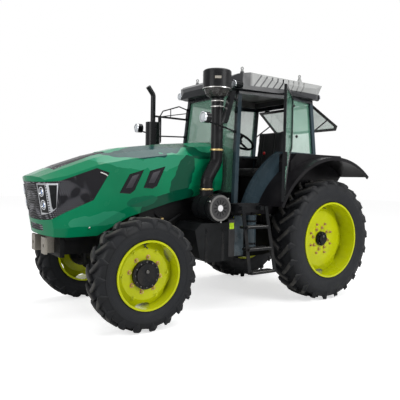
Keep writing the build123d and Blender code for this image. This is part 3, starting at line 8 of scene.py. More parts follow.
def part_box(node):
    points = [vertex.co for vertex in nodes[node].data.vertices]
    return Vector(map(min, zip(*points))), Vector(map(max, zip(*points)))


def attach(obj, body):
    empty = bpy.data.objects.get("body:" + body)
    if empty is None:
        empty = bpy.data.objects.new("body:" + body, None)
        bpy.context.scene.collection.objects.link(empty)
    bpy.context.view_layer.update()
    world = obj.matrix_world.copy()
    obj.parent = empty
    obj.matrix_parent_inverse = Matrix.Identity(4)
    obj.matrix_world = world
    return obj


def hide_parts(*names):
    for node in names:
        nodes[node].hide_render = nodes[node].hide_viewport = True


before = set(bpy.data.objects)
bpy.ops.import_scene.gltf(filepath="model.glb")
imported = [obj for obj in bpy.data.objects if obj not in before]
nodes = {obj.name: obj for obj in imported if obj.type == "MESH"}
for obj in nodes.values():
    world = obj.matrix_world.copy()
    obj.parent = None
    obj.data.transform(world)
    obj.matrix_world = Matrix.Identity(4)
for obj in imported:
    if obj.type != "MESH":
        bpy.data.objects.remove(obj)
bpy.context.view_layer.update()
leftTyre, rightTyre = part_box("tyre_rear_left"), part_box("tyre_rear_right")
midY = (leftTyre[0][1] + rightTyre[1][1]) / 2      # the tractor's own middle plane
print("tractor frame loaded:", len(nodes), "parts")


# ---- node helpers: each returns a socket that the next one takes
def addNode(tree, kind, inputs, **settings):
    node = tree.nodes.new(kind)
    for key, value in settings.items():
        setattr(node, key, value)
    for key, value in inputs.items():
        if isinstance(value, bpy.types.NodeSocket):
            tree.links.new(value, node.inputs[key])
        else:
            node.inputs[key].default_value = value
    return node


def calc(tree, operation, a, b=0.0):
    return addNode(tree, "ShaderNodeMath", {0: a, 1: b}, operation=operation).outputs[0]


def times(tree, a, b):
    return calc(tree, "MULTIPLY", a, b)


def plus(tree, a, b):
    return calc(tree, "ADD", a, b)


def minus(tree, a, b):
    return calc(tree, "SUBTRACT", a, b)


def objectPlace(tree, offset=None, scale=(1, 1, 1), turn=(0, 0, 0)):
    # object coordinates, read from the middle plane unless an offset says otherwise
    coords = addNode(tree, "ShaderNodeTexCoord", {}).outputs["Object"]
    if offset is None:
        offset = (0, -midY * scale[1], 0)
    return addNode(tree, "ShaderNodeMapping", {"Vector": coords, "Location": offset, "Rotation": turn,
                                               "Scale": scale}).outputs[0]


def splitPlace(tree, place):
    parts = addNode(tree, "ShaderNodeSeparateXYZ", {0: place})
    return parts.outputs[0], parts.outputs[1], parts.outputs[2]


def speckle(tree, place, scale, detail=3.0, roughness=0.55):
    return addNode(tree, "ShaderNodeTexNoise", {"Vector": place, "Scale": scale, "Detail": detail,
                                                "Roughness": roughness}).outputs["Fac"]


def remap(tree, value, low, high, toLow=0.0, toHigh=1.0):
    return addNode(tree, "ShaderNodeMapRange", {0: value, 1: low, 2: high, 3: toLow, 4: toHigh}).outputs[0]


def mottle(tree, place, scale, detail, toLow, toHigh):
    # noise between two levels
    return remap(tree, speckle(tree, place, scale, detail), 0.3, 0.7, toLow, toHigh)


def blendColour(tree, factor, first, second):
    def full(colour):
        return colour if isinstance(colour, bpy.types.NodeSocket) else (*colour, 1.0)
    return addNode(tree, "ShaderNodeMix", {0: factor, 6: full(first), 7: full(second)},
                   data_type="RGBA").outputs[2]


def raiseSurface(tree, shader, height, strength, distance):
    relief = addNode(tree, "ShaderNodeBump", {"Height": height, "Strength": strength, "Distance": distance})
    if shader.inputs["Normal"].is_linked:
        tree.links.new(shader.inputs["Normal"].links[0].from_socket, relief.inputs["Normal"])
    tree.links.new(relief.outputs[0], shader.inputs["Normal"])


def startFinish(name, metallic=0.0, roughness=0.5, coat=0.0, specular=0.5):
    material = bpy.data.materials.new(name)
    material.use_nodes = True
    shader = material.node_tree.nodes["Principled BSDF"]
    shader.inputs["Metallic"].default_value = metallic
    shader.inputs["Roughness"].default_value = roughness
    shader.inputs["Coat Weight"].default_value = coat
    shader.inputs["Coat Roughness"].default_value = 0.06
    shader.inputs["Specular IOR Level"].default_value = specular
    return material, material.node_tree, shader


def setColour(tree, shader, colour):
    tree.links.new(colour, shader.inputs["Base Color"])


def setRoughness(tree, shader, value):
    tree.links.new(value, shader.inputs["Roughness"])


# ---- finishes
def enamel(name, colour, shade, roughness=0.28, coat=0.35, peel=0.03, dust=0.25, specular=0.3):
    # sprayed paint: slow tone shift, orange peel, a little dust low down
    material, tree, shader = startFinish(name, 0.0, roughness, coat, specular)
    place = objectPlace(tree)
    tone = blendColour(tree, remap(tree, speckle(tree, place, 2.3), 0.3, 0.7), colour, shade)
    height = splitPlace(tree, place)[2]
    low = remap(tree, height, 1.0, 0.2, 0.0, dust)
    dirt = times(tree, low, remap(tree, speckle(tree, place, 9.0, 5.0), 0.42, 0.72))
    setColour(tree, shader, blendColour(tree, dirt, tone, (0.16, 0.13, 0.10)))
    sheen = mottle(tree, place, 6.0, 4.0, roughness - 0.05, roughness + 0.08)
    setRoughness(tree, shader, plus(tree, sheen, dirt))
    raiseSurface(tree, shader, speckle(tree, place, 420.0, 1.0), peel, 0.0004)
    return material


def grainPlastic(name, colour, shade, roughness=0.5, grain=0.25, scale=260.0):
    # moulded plastic: leathery fine grain and worn, paler patches
    material, tree, shader = startFinish(name, 0.0, roughness, 0.0, 0.12)
    place = objectPlace(tree)
    worn = remap(tree, speckle(tree, place, 5.0, 5.0, 0.6), 0.38, 0.7)
    setColour(tree, shader, blendColour(tree, worn, colour, shade))
    setRoughness(tree, shader, remap(tree, worn, 0.0, 1.0, roughness - 0.08, roughness + 0.1))
    cells = addNode(tree, "ShaderNodeTexVoronoi", {"Vector": place, "Scale": scale}).outputs["Distance"]
    raiseSurface(tree, shader, cells, grain, 0.0006)
    return material


def castIron(name, colour, shade, roughness=0.55):
    # painted sand casting: rough skin, oily sheen, rubbed spots
    material, tree, shader = startFinish(name, 0.0, roughness, 0.02, 0.14)
    place = objectPlace(tree)
    spots = remap(tree, speckle(tree, place, 14.0, 6.0, 0.65), 0.45, 0.75)
    setColour(tree, shader, blendColour(tree, spots, colour, shade))
    setRoughness(tree, shader, mottle(tree, place, 7.0, 4.0, roughness - 0.15, roughness + 0.15))
    raiseSurface(tree, shader, speckle(tree, place, 160.0, 4.0), 0.35, 0.0012)
    return material


def bareMetal(name, colour, roughness=0.3, stretch=(1, 1, 1)):
    material, tree, shader = startFinish(name, 1.0, roughness)
    place = objectPlace(tree, scale=stretch)
    streak = speckle(tree, place, 90.0, 4.0)
    dark = tuple(0.6 * part for part in colour)
    setColour(tree, shader, blendColour(tree, remap(tree, streak, 0.35, 0.7), colour, dark))
    setRoughness(tree, shader, remap(tree, streak, 0.3, 0.7, roughness - 0.08, roughness + 0.14))
    raiseSurface(tree, shader, streak, 0.1, 0.0004)
    return material


def clearGlass(name, colour, alpha, roughness=0.02):
    # thin tinted pane under a faint film
    material, tree, shader = startFinish(name, 0.0, roughness, 0.3, 0.5)
    place = objectPlace(tree)
    film = remap(tree, speckle(tree, place, 3.0, 5.0, 0.6), 0.3, 0.75)
    setColour(tree, shader, blendColour(tree, film, colour, tuple(0.75 * part for part in colour)))
    tree.links.new(remap(tree, film, 0.0, 1.0, alpha - 0.03, alpha + 0.06), shader.inputs["Alpha"])
    smear = speckle(tree, place, 4.0, 2.0)
    setRoughness(tree, shader, remap(tree, smear, 0.4, 0.8, roughness, roughness + 0.02))
    return material


tyreTone = {"clean": (0.0035, 0.004, 0.005), "dusty": (0.009, 0.0098, 0.012), "side": (0.010, 0.0112, 0.014),
            "scuffed": (0.060, 0.057, 0.052), "ringPitch": 0.0105}


def tyreRubber(name, centre, outer, bead):
    # rings on the sidewall, scuffed lug tops, blotches of dust all over
    material, tree, shader = startFinish(name, 0.0, 0.6, 0.0, 0.24)
    place = objectPlace(tree, offset=tuple(-part for part in centre))
    x, _, z = splitPlace(tree, place)
    radius = calc(tree, "SQRT", plus(tree, times(tree, x, x), times(tree, z, z)))
    scuff = remap(tree, radius, outer - 0.016, outer - 0.002)
    blotch = remap(tree, speckle(tree, place, 11.0, 6.0, 0.6), 0.35, 0.7)
    sideWall = remap(tree, radius, outer - 0.10, outer - 0.13)
    base = blendColour(tree, blotch, tyreTone["clean"], tyreTone["dusty"])
    base = blendColour(tree, times(tree, sideWall, 0.6), base, tyreTone["side"])
    worn = times(tree, scuff, plus(tree, blotch, 0.25))
    setColour(tree, shader, blendColour(tree, worn, base, tyreTone["scuffed"]))
    setRoughness(tree, shader, remap(tree, blotch, 0.0, 1.0, 0.48, 0.72))
    rings = calc(tree, "SINE", times(tree, radius, 2 * math.pi / tyreTone["ringPitch"]))
    nearBead = times(tree, remap(tree, radius, bead + 0.012, bead + 0.02),
                     remap(tree, radius, bead + 0.062, bead + 0.054))
    nearTread = times(tree, remap(tree, radius, outer - 0.150, outer - 0.143),
                      remap(tree, radius, outer - 0.108, outer - 0.115))
    mask = calc(tree, "MAXIMUM", nearBead, nearTread)
    raiseSurface(tree, shader, times(tree, rings, mask), 0.55, 0.0016)
    raiseSurface(tree, shader, speckle(tree, place, 130.0, 4.0), 0.22, 0.0012)
    return material


def dotMask(tree, u, v, pitch, size):
    # round holes on a staggered lattice
    rowGap = 1.732

    def offMiddle(value, step, shift):
        cell = plus(tree, calc(tree, "DIVIDE", value, step), shift)
        return minus(tree, calc(tree, "FRACT", cell), 0.5)

    def lattice(shift):
        a = offMiddle(u, pitch, shift)
        b = times(tree, offMiddle(v, pitch * rowGap, shift), rowGap)
        return calc(tree, "SQRT", plus(tree, times(tree, a, a), times(tree, b, b)))
    near = calc(tree, "MINIMUM", lattice(0.0), lattice(0.5))
    return remap(tree, near, size + 0.05, size - 0.05)


# ---- body finishes that follow the part's own shape
def hoodEnamelWithPaintedLight():
    # green hood with painted highlights, painted shade and painted reflections in broad patches towards the
    # cab
    material, tree, shader = startFinish("hoodGreen", 0.0, 0.20, 0.14, 0.10)
    place = objectPlace(tree)
    x, y, z = splitPlace(tree, place)
    side = calc(tree, "ABSOLUTE", y)
    wobble = times(tree, minus(tree, speckle(tree, place, 5.0, 2.0), 0.5), 1.15)
    # painted light: light is a painted highlight, deep and mid are painted shade, teal is a painted reflection
    paintedLightTones = {"light": (0.022, 0.235, 0.125), "deep": (0.0008, 0.060, 0.031), "teal": (0.003, 0.048, 0.045),
             "mid": (0.001, 0.105, 0.052)}
    colour = blendColour(tree, remap(tree, speckle(tree, place, 1.6), 0.35, 0.7), (0.0015, 0.190, 0.082),
                         (0.001, 0.150, 0.065))
    for face, middle, level, long, tall, lean, tone in paintedLightPatches:
        onTop = face == "top"
        along = calc(tree, "DIVIDE", minus(tree, x, middle), long)
        across = calc(tree, "DIVIDE", minus(tree, side if onTop else z, level), tall)
        slid = plus(tree, along, times(tree, across, lean))
        reach = calc(tree, "SQRT", plus(tree, times(tree, slid, slid), times(tree, across, across)))
        inside = remap(tree, plus(tree, reach, wobble), 1.0, 0.97)
        if onTop:
            inside = times(tree, inside, remap(tree, z, 1.69, 1.70))
        colour = blendColour(tree, inside, colour, paintedLightTones[tone])
    setColour(tree, shader, colour)
    setRoughness(tree, shader, mottle(tree, place, 8.0, 4.0, 0.17, 0.28))
    raiseSurface(tree, shader, speckle(tree, place, 380.0, 1.0), 0.02, 0.0003)
    return material


# per patch: face, middle along the hood, its height (on top: how far off the middle), half sizes, lean, and
# its painted light tone
paintedLightPatches = [
    ("side", 0.86, 1.66, 0.24, 0.16, 0.5, "light"),
    ("side", 1.42, 1.62, 0.26, 0.09, -0.9, "light"),
    ("side", 1.62, 1.03, 0.26, 0.07, 0.5, "light"),
    ("side", 1.22, 1.70, 0.34, 0.06, 0.0, "teal"),
    ("side", 0.66, 1.46, 0.13, 0.24, 0.7, "deep"),
    ("side", 0.84, 1.19, 0.26, 0.13, 0.9, "deep"),
    ("side", 1.16, 1.20, 0.18, 0.06, 0.4, "mid"),
    ("side", 0.40, 1.74, 0.16, 0.08, 0.0, "deep"),
    ("side", 0.30, 1.44, 0.08, 0.20, -0.5, "mid"),
    ("top", 1.02, 0.24, 0.38, 0.14, 0.0, "teal"),
    ("top", 0.70, 0.12, 0.26, 0.15, 0.3, "deep"),
    ("top", 0.34, 0.22, 0.17, 0.13, 0.2, "light"),
    ("top", 1.36, 0.08, 0.18, 0.12, 0.0, "light"),
]


grilleDots = {"holePitch": 0.0105, "dotPitch": 0.021, "hole": 0.30, "dot": 0.25}


def sideGrilleMesh():
    # fine hexagon mesh, its holes painted near black as painted shade of the space behind it; its front corner
    # carries a field of brighter dots
    material, tree, shader = startFinish("sideGrilleMesh", 0.0, 0.35, 0.05, 0.12)
    place = objectPlace(tree)
    x, _, z = splitPlace(tree, place)
    holes = dotMask(tree, x, z, grilleDots["holePitch"], grilleDots["hole"])
    dots = dotMask(tree, plus(tree, x, times(tree, z, 0.25)), z, grilleDots["dotPitch"], grilleDots["dot"])
    corner = remap(tree, plus(tree, x, times(tree, z, -0.55)), 0.98, 1.06)
    field = times(tree, corner, remap(tree, speckle(tree, place, 9.0, 1.0), 0.40, 0.50))
    # painted shade in the holes
    base = blendColour(tree, holes, (0.012, 0.0115, 0.015), (0.001, 0.001, 0.0015))
    setColour(tree, shader, blendColour(tree, times(tree, dots, field), base, (0.19, 0.19, 0.21)))
    setRoughness(tree, shader, remap(tree, holes, 0.0, 1.0, 0.32, 0.8))
    raiseSurface(tree, shader, minus(tree, 1.0, holes), 0.5, 0.0012)
    return material


def wovenCloth(name, colour, shade, pitch=0.004):
    # threads crossing both ways
    material, tree, shader = startFinish(name, 0.0, 0.85, 0.0, 0.25)
    shader.inputs["Sheen Weight"].default_value = 0.35
    place = objectPlace(tree)
    x, y, z = splitPlace(tree, place)
    turns = 2 * math.pi / pitch
    warp = calc(tree, "SINE", times(tree, plus(tree, x, z), turns))
    weft = calc(tree, "SINE", times(tree, plus(tree, y, times(tree, z, 0.3)), turns))
    weave = times(tree, warp, weft)
    tone = plus(tree, times(tree, weave, 0.25), speckle(tree, place, 12.0, 4.0))
    setColour(tree, shader, blendColour(tree, remap(tree, tone, 0.2, 0.8), colour, shade))
    raiseSurface(tree, shader, weave, 0.5, 0.0008)
    return material


roofMarks = {"grooveStart": 1.3812, "grooveStep": 0.088, "grooves": 5, "slope": 0.771, "foot": 2.507,
             "head": 2.650, "side": 0.57, "underside": 2.512, "visor": (-0.14, 2.70),
             "lining": {"side": 0.435, "top": 2.56, "front": -0.11, "rear": -1.1}}


def roofShell():
    # pale roof: dark underside band and visor, painted shade on the floors of the slanted grooves, a grey
    # lining inside
    material, tree, shader = startFinish("roofSilver", 0.0, 0.34, 0.10, 0.3)
    place = objectPlace(tree)
    x, y, z = splitPlace(tree, place)
    side = calc(tree, "ABSOLUTE", y)
    tone = blendColour(tree, remap(tree, speckle(tree, place, 2.5, 4.0), 0.3, 0.7), (0.30, 0.305, 0.30),
                       (0.235, 0.24, 0.235))
    line = plus(tree, x, times(tree, z, roofMarks["slope"]))
    phase = calc(tree, "DIVIDE", minus(tree, line, roofMarks["grooveStart"]), roofMarks["grooveStep"])
    offMiddle = calc(tree, "ABSOLUTE", minus(tree, calc(tree, "FRACT", phase), 0.5))
    # painted shade: dark stripes where the grooves' floors lie
    grooveShade = remap(tree, offMiddle, 0.135, 0.12)
    last = roofMarks["grooves"]
    band = times(tree, remap(tree, phase, 0.0, 0.02), remap(tree, phase, last, last - 0.02))
    foot, head = roofMarks["foot"], roofMarks["head"]
    tall = times(tree, remap(tree, z, foot, foot + 0.005), remap(tree, z, head, head - 0.005))
    outside = remap(tree, side, roofMarks["side"], roofMarks["side"] + 0.005)
    dark = times(tree, times(tree, grooveShade, band), times(tree, tall, outside))
    sag = times(tree, remap(tree, x, 0.05, -0.9), 0.02)
    under = remap(tree, minus(tree, z, sag), roofMarks["underside"], roofMarks["underside"] - 0.006)
    rear, top = roofMarks["visor"]
    visor = times(tree, remap(tree, x, rear, rear + 0.04), remap(tree, z, top, top - 0.01))
    dark = calc(tree, "MAXIMUM", dark, calc(tree, "MAXIMUM", under, visor))
    wide, top, front, rear = roofMarks["lining"].values()
    inner = times(tree, remap(tree, side, wide, wide - 0.005), remap(tree, z, top, top - 0.01))
    ends = times(tree, remap(tree, x, front, front - 0.01), remap(tree, x, rear, rear + 0.01))
    colour = blendColour(tree, dark, tone, (0.020, 0.021, 0.024))
    setColour(tree, shader, blendColour(tree, times(tree, inner, ends), colour, (0.085, 0.085, 0.082)))
    setRoughness(tree, shader, mottle(tree, place, 9.0, 4.0, 0.28, 0.42))
    raiseSurface(tree, shader, speckle(tree, place, 300.0, 2.0), 0.08, 0.0005)
    return material


def cabBlackPaint():
    # gloss black frame; outside, below the roof, it carries a slate tint: a painted reflection on its outward
    # faces
    material, tree, shader = startFinish("cabBlack", 0.0, 0.24, 0.08, 0.14)
    place = objectPlace(tree)
    _, y, z = splitPlace(tree, place)
    # painted reflection: the outward faces below the roof are tinted slate
    paintedSideReflection = times(tree, remap(tree, calc(tree, "ABSOLUTE", y), 0.50, 0.54), remap(tree, z, 2.44, 2.40))
    shade = remap(tree, speckle(tree, place, 2.5, 4.0), 0.35, 0.7)
    tone = blendColour(tree, shade, (0.004, 0.005, 0.007), (0.009, 0.011, 0.014))
    setColour(tree, shader, blendColour(tree, paintedSideReflection, tone, (0.032, 0.052, 0.066)))
    setRoughness(tree, shader, mottle(tree, place, 7.0, 4.0, 0.18, 0.34))
    raiseSurface(tree, shader, speckle(tree, place, 400.0, 1.0), 0.03, 0.0004)
    return material


def lensFinish(name, colour, glow, roughness=0.08):
    # ribbed lamp lens, with painted light and dark bands along the ribs
    material, tree, shader = startFinish(name, 0.0, roughness, 0.8)
    place = objectPlace(tree)
    ribs = calc(tree, "SINE", times(tree, splitPlace(tree, place)[2], 2 * math.pi / 0.007))
    # painted shading: the colour is banded darker and lighter along the ribs
    setColour(tree, shader, blendColour(tree, remap(tree, ribs, -1.0, 1.0), colour,
                                        tuple(0.7 * part for part in colour)))
    setRoughness(tree, shader, mottle(tree, place, 30.0, 3.0, roughness, roughness + 0.06))
    raiseSurface(tree, shader, ribs, 0.3, 0.0008)
    shader.inputs["Emission Color"].default_value = (*colour, 1.0)
    shader.inputs["Emission Strength"].default_value = glow
    return material


# per finish: its maker, then that maker's own settings in order
finishTable = {
    "wheelLime": (enamel, (0.50, 0.54, 0.004), (0.43, 0.47, 0.003), 0.24, 0.15, 0.03, 0.12, 0.12),
    "chassisBlack": (enamel, (0.007, 0.0075, 0.009), (0.013, 0.014, 0.015), 0.42, 0.03, 0.08, 0.35, 0.1),
    "partsBlack": (enamel, (0.004, 0.0045, 0.0055), (0.009, 0.010, 0.011), 0.24, 0.08, 0.03, 0.2, 0.12),
    "castBlack": (castIron, (0.004, 0.0043, 0.005), (0.010, 0.0098, 0.0096)),
    "fenderPlastic": (grainPlastic, (0.006, 0.0055, 0.0065), (0.011, 0.0102, 0.0115), 0.36, 0.25),
    "tankPlastic": (grainPlastic, (0.005, 0.0055, 0.006), (0.010, 0.011, 0.012), 0.38, 0.2, 180.0),
    "cabPlastic": (grainPlastic, (0.009, 0.0095, 0.011), (0.016, 0.0165, 0.018), 0.45, 0.25),
    "softRubber": (grainPlastic, (0.012, 0.012, 0.013), (0.020, 0.020, 0.021), 0.62, 0.25, 120.0),
    "panelGrey": (grainPlastic, (0.040, 0.039, 0.040), (0.055, 0.054, 0.055), 0.5, 0.2, 160.0),
    "ventGrey": (grainPlastic, (0.040, 0.038, 0.045), (0.055, 0.052, 0.060), 0.4, 0.15, 200.0),
    "filterGrey": (grainPlastic, (0.12, 0.118, 0.115), (0.17, 0.165, 0.16), 0.55, 0.35, 150.0),
    "ductRubber": (grainPlastic, (0.008, 0.008, 0.009), (0.014, 0.014, 0.015), 0.30, 0.12, 90.0),
    "paleGlass": (clearGlass, (0.20, 0.46, 0.33), 0.40),
    "smokedBowl": (clearGlass, (0.10, 0.095, 0.09), 0.55, 0.06),
    "plateBeige": (bareMetal, (0.42, 0.39, 0.34), 0.42, (1, 1, 6)),
    "brightSteel": (bareMetal, (0.58, 0.57, 0.55), 0.26),
    "darkSteel": (bareMetal, (0.16, 0.155, 0.15), 0.38),
    "copperNut": (bareMetal, (0.62, 0.36, 0.24), 0.34),
    "brassClamp": (bareMetal, (0.60, 0.44, 0.20), 0.32),
    "lampChrome": (bareMetal, (0.82, 0.84, 0.88), 0.14),
    "blankWhite": (enamel, (0.72, 0.71, 0.72), (0.64, 0.63, 0.65), 0.35, 0.1, 0.02, 0.1),
    "limeLabel": (enamel, (0.50, 0.78, 0.015), (0.45, 0.70, 0.012), 0.35, 0.1, 0.02, 0.1),
    "redKnob": (enamel, (0.45, 0.012, 0.010), (0.36, 0.010, 0.008), 0.3, 0.2, 0.02, 0.1),
    "amberKnob": (enamel, (0.60, 0.22, 0.010), (0.50, 0.18, 0.008), 0.3, 0.2, 0.02, 0.1),
    "slatePaint": (enamel, (0.034, 0.055, 0.068), (0.025, 0.042, 0.053), 0.26, 0.3),
    "seatCloth": (wovenCloth, (0.012, 0.013, 0.015), (0.030, 0.031, 0.034)),
    "redLens": (lensFinish, (0.55, 0.012, 0.015), 0.15),
    "clearLens": (lensFinish, (0.62, 0.66, 0.70), 0.04, 0.05),
    "blueLens": (lensFinish, (0.20, 0.30, 0.52), 0.05, 0.05),
}
finishes = {name: make(name, *settings) for name, (make, *settings) in finishTable.items()}
finishes |= {"hoodGreen": hoodEnamelWithPaintedLight(), "cabBlack": cabBlackPaint(), "roofSilver": roofShell(),
             "sideMesh": sideGrilleMesh()}
print("finishes mixed:", len(finishes))

wheelSizes = {}
for end in ("front", "rear"):
    for side in ("left", "right"):
        low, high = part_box(f"tyre_{end}_{side}")
        outer = (high[2] - low[2]) / 2
        centre = ((low[0] + high[0]) / 2, (low[1] + high[1]) / 2, outer)
        rimLow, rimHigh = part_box(f"rim_{end}_{side}")
        bead = (rimHigh[2] - rimLow[2]) / 2 - 0.012
        wheelSizes[end, side] = {"centre": centre, "outer": outer, "bead": bead,
                                 "half": (high[1] - low[1]) / 2, "rimHalf": (rimHigh[1] - rimLow[1]) / 2}
        name = f"tyreRubber{end.title()}{side.title()}"
        finishes[f"tyre{end}{side}"] = tyreRubber(name, centre, outer, bead)

partFinishes = {
    "castBlack": ["front_bolster", "engine_block", "transmission_housing", "rear_axle_housing",
                  "front_axle_beam", "knuckle_left", "knuckle_right", "lower_links", "lift_arms"],
    "partsBlack": ["rear_window_frame", "rear_window_struts", "door_left_frame", "door_right_frame", "ladders",
                   "exhaust_stack", "mirrors", "work_lamps"],
    "chassisBlack": ["radiator", "tie_rod", "lift_rods", "bulkhead"],
    "paleGlass": ["cab_windows", "rear_window_glass", "door_left_glass", "door_right_glass"],
    "cabPlastic": ["cab_floor", "seat_base", "dashboard"], "seatCloth": ["seat_cushion", "seat_back"],
    "cabBlack": ["cab_frame", "cab_rear_panel"], "hoodGreen": ["hood_shell", "nose_cowl"],
    "tankPlastic": ["fuel_tank", "air_cleaner"], "ductRubber": ["intake_duct", "precleaner"],
    "plateBeige": ["front_plates"], "brightSteel": ["pto_shaft"], "roofSilver": ["cab_roof"],
    "fenderPlastic": ["rear_fenders"], "redLens": ["tail_lamps"], "softRubber": ["steering_wheel"],
    "sideMesh": ["hood_grilles"], "lampChrome": ["headlamps"], "slatePaint": ["battery_box"],
}


def dressNode(name, finish):
    mesh = nodes[name].data
    mesh.materials.clear()
    mesh.materials.append(finishes[finish])


for finish, names in partFinishes.items():
    for name in names:
        dressNode(name, finish)
for end, side in wheelSizes:
    dressNode(f"tyre_{end}_{side}", f"tyre{end}{side}")
    dressNode(f"rim_{end}_{side}", "wheelLime")
    dressNode(f"hub_{end}_{side}", "partsBlack")
print("carried parts painted")


# ---- modelling helpers
rearAxleX = wheelSizes["rear", "left"]["centre"][0]


def spot(x, y, z):
    # metres ahead of the rear axle, left of the tractor's middle, above the ground
    return Vector((rearAxleX + x, midY + y, z))


ahead, leftward, upward = Vector((1, 0, 0)), Vector((0, 1, 0)), Vector((0, 0, 1))


def deselectAll():
    if bpy.context.object and bpy.context.object.mode != "OBJECT":
        bpy.ops.object.mode_set(mode="OBJECT")
    bpy.ops.object.select_all(action="DESELECT")


def makeActive(piece):
    deselectAll()
    piece.select_set(True)
    bpy.context.view_layer.objects.active = piece


def takeNew(name):
    piece = bpy.context.object
    piece.name = name
    piece.data.name = name
    bpy.ops.object.transform_apply(location=True, rotation=True, scale=True)
    return piece


def newBlock(name, low, high):
    deselectAll()
    bpy.ops.mesh.primitive_cube_add(size=1.0, location=(low + high) / 2, scale=high - low)
    return takeNew(name)


def newRod(name, foot, head, radius, sides=20, topRadius=None):
    deselectAll()
    along = head - foot
    turn = along.to_track_quat("Z", "Y").to_euler()
    if topRadius is None:
        bpy.ops.mesh.primitive_cylinder_add(vertices=sides, radius=radius, depth=along.length,
                                            location=(foot + head) / 2, rotation=turn)
    else:
        bpy.ops.mesh.primitive_cone_add(vertices=sides, radius1=radius, radius2=topRadius, depth=along.length,
                                        location=(foot + head) / 2, rotation=turn)
    return takeNew(name)


def newBall(name, centre, radius, scale=(1, 1, 1), rings=12):
    deselectAll()
    bpy.ops.mesh.primitive_uv_sphere_add(segments=2 * rings, ring_count=rings, radius=radius, location=centre,
                                         scale=scale)
    return takeNew(name)


def openFaces(piece, wanted):
    # edit mode with only the wanted faces selected, told by centre and normal
    makeActive(piece)
    bpy.ops.object.mode_set(mode="EDIT")
    bpy.ops.mesh.select_mode(type="FACE")
    bpy.ops.mesh.select_all(action="DESELECT")
    mesh = bmesh.from_edit_mesh(piece.data)
    for face in mesh.faces:
        if wanted(face.calc_center_median(), face.normal):
            face.select_set(True)
    bmesh.update_edit_mesh(piece.data)


def closeEdit():
    bpy.ops.object.mode_set(mode="OBJECT")


def smoothed(piece, angle=40):
    makeActive(piece)
    bpy.ops.object.shade_smooth_by_angle(angle=math.radians(angle))
    return piece


def soften(piece, width, segments=2, angle=35):
    # round the edges that turn more than the angle
    makeActive(piece)
    modifier = piece.modifiers.new("edge", "BEVEL")
    modifier.width = width
    modifier.segments = segments
    modifier.limit_method = "ANGLE"
    modifier.angle_limit = math.radians(angle)
    bpy.ops.object.modifier_apply(modifier=modifier.name)
    return smoothed(piece, angle)


def softBlock(name, low, high, width, segments=1):
    # a block with rounded edges between two places on the tractor
    return soften(newBlock(name, spot(*low), spot(*high)), width, segments)


def cleanShell(piece):
    openFaces(piece, lambda centre, normal: True)
    bpy.ops.mesh.remove_doubles(threshold=0.00002)
    bpy.ops.mesh.normals_make_consistent(inside=False)
    closeEdit()
    return piece


def traceLine(name, points):
    # a chain of edges through the points, all selected in edit mode
    deselectAll()
    bpy.ops.mesh.primitive_plane_add(size=0.01, location=points[0])
    piece = takeNew(name)
    bpy.ops.object.mode_set(mode="EDIT")
    bpy.ops.mesh.select_mode(type="VERT")
    bpy.ops.mesh.select_all(action="SELECT")
    bpy.ops.mesh.merge(type="CENTER")
    for last, point in zip(points, points[1:]):
        bpy.ops.mesh.extrude_vertices_move(TRANSFORM_OT_translate={"value": point - last})
    bpy.ops.mesh.select_all(action="SELECT")
    return piece


def spun(name, profile, centre, axis, steps=48, angle=35):
    # profile: how far along the axis, radius; turned about the axis through centre
    side = axis.orthogonal().normalized()
    piece = traceLine(name, [centre + axis * along + side * radius for along, radius in profile])
    bpy.ops.mesh.spin(steps=steps, angle=math.radians(360), center=centre, axis=axis)
    bpy.ops.mesh.select_all(action="SELECT")
    bpy.ops.mesh.remove_doubles(threshold=0.00002)
    bpy.ops.mesh.normals_make_consistent(inside=False)
    closeEdit()
    return smoothed(piece, angle)


def ring(name, profile, centre, axis, steps=48):
    # the same with a profile that closes on itself
    return spun(name, profile + profile[:1], centre, axis, steps)


def bentPipe(name, points, radius):
    # round pipe or hose held at both ends
    curve = bpy.data.curves.new(name, "CURVE")
    curve.dimensions = "3D"
    line = curve.splines.new("NURBS")
    line.points.add(len(points) - 1)
    for slot, point in zip(line.points, points):
        slot.co = (*point, 1.0)
    line.order_u = 3
    line.use_endpoint_u = True
    line.resolution_u = 5
    curve.bevel_depth = radius
    curve.bevel_resolution = 3
    curve.use_fill_caps = True
    pipe = bpy.data.objects.new(name, curve)
    bpy.context.collection.objects.link(pipe)
    makeActive(pipe)
    bpy.ops.object.convert(target="MESH")
    piece = bpy.context.object
    piece.data.name = name
    return smoothed(cleanShell(piece))


def copyMoved(piece, matrix):
    twin = piece.copy()
    twin.data = piece.data.copy()
    twin.data.transform(matrix)
    bpy.context.collection.objects.link(twin)
    return twin


def turnedCopies(piece, count, centre, axis, first=0.0):
    # the piece itself and its copies, evenly round the axis
    turns = []
    for n in range(count):
        turn = Matrix.Rotation(2 * math.pi * n / count + first, 4, axis)
        turns.append(copyMoved(piece, Matrix.Translation(centre) @ turn @ Matrix.Translation(-centre)))
    bpy.data.objects.remove(piece)
    return turns


def mirroredCopy(piece):
    flip = Matrix.Translation((0, 2 * midY, 0)) @ Matrix.Scale(-1, 4, (0, 1, 0))
    twin = copyMoved(piece, flip)
    twin.data.flip_normals()
    return twin


def bothSides(pieces):
    return pieces + [mirroredCopy(piece) for piece in pieces]


def joined(name, pieces):
    deselectAll()
    for piece in pieces:
        piece.select_set(True)
    bpy.context.view_layer.objects.active = pieces[0]
    if len(pieces) > 1:
        bpy.ops.object.join()
    whole = bpy.context.object
    whole.name = name
    whole.data.name = name
    return whole


def putOn(piece, body, finish):
    piece.data.materials.clear()
    piece.data.materials.append(finishes[finish])
    for face in piece.data.polygons:
        face.material_index = 0
    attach(piece, body)
    return piece


def putJoined(name, pieces, body, finish):
    return putOn(joined(name, pieces), body, finish)


def putBoth(name, pieces, body, finish):
    # the pieces and their mirror images as one
    return putJoined(name, bothSides(pieces), body, finish)


# ---- tyres: smooth carcass with wrapped bar lugs
tyreLook = {
    "rear": {"lugs": 22, "lugTall": 0.044, "lugWide": 0.038, "pastMiddle": 0.013, "steps": 88},
    "front": {"lugs": 19, "lugTall": 0.038, "lugWide": 0.032, "pastMiddle": 0.012, "steps": 76},
}
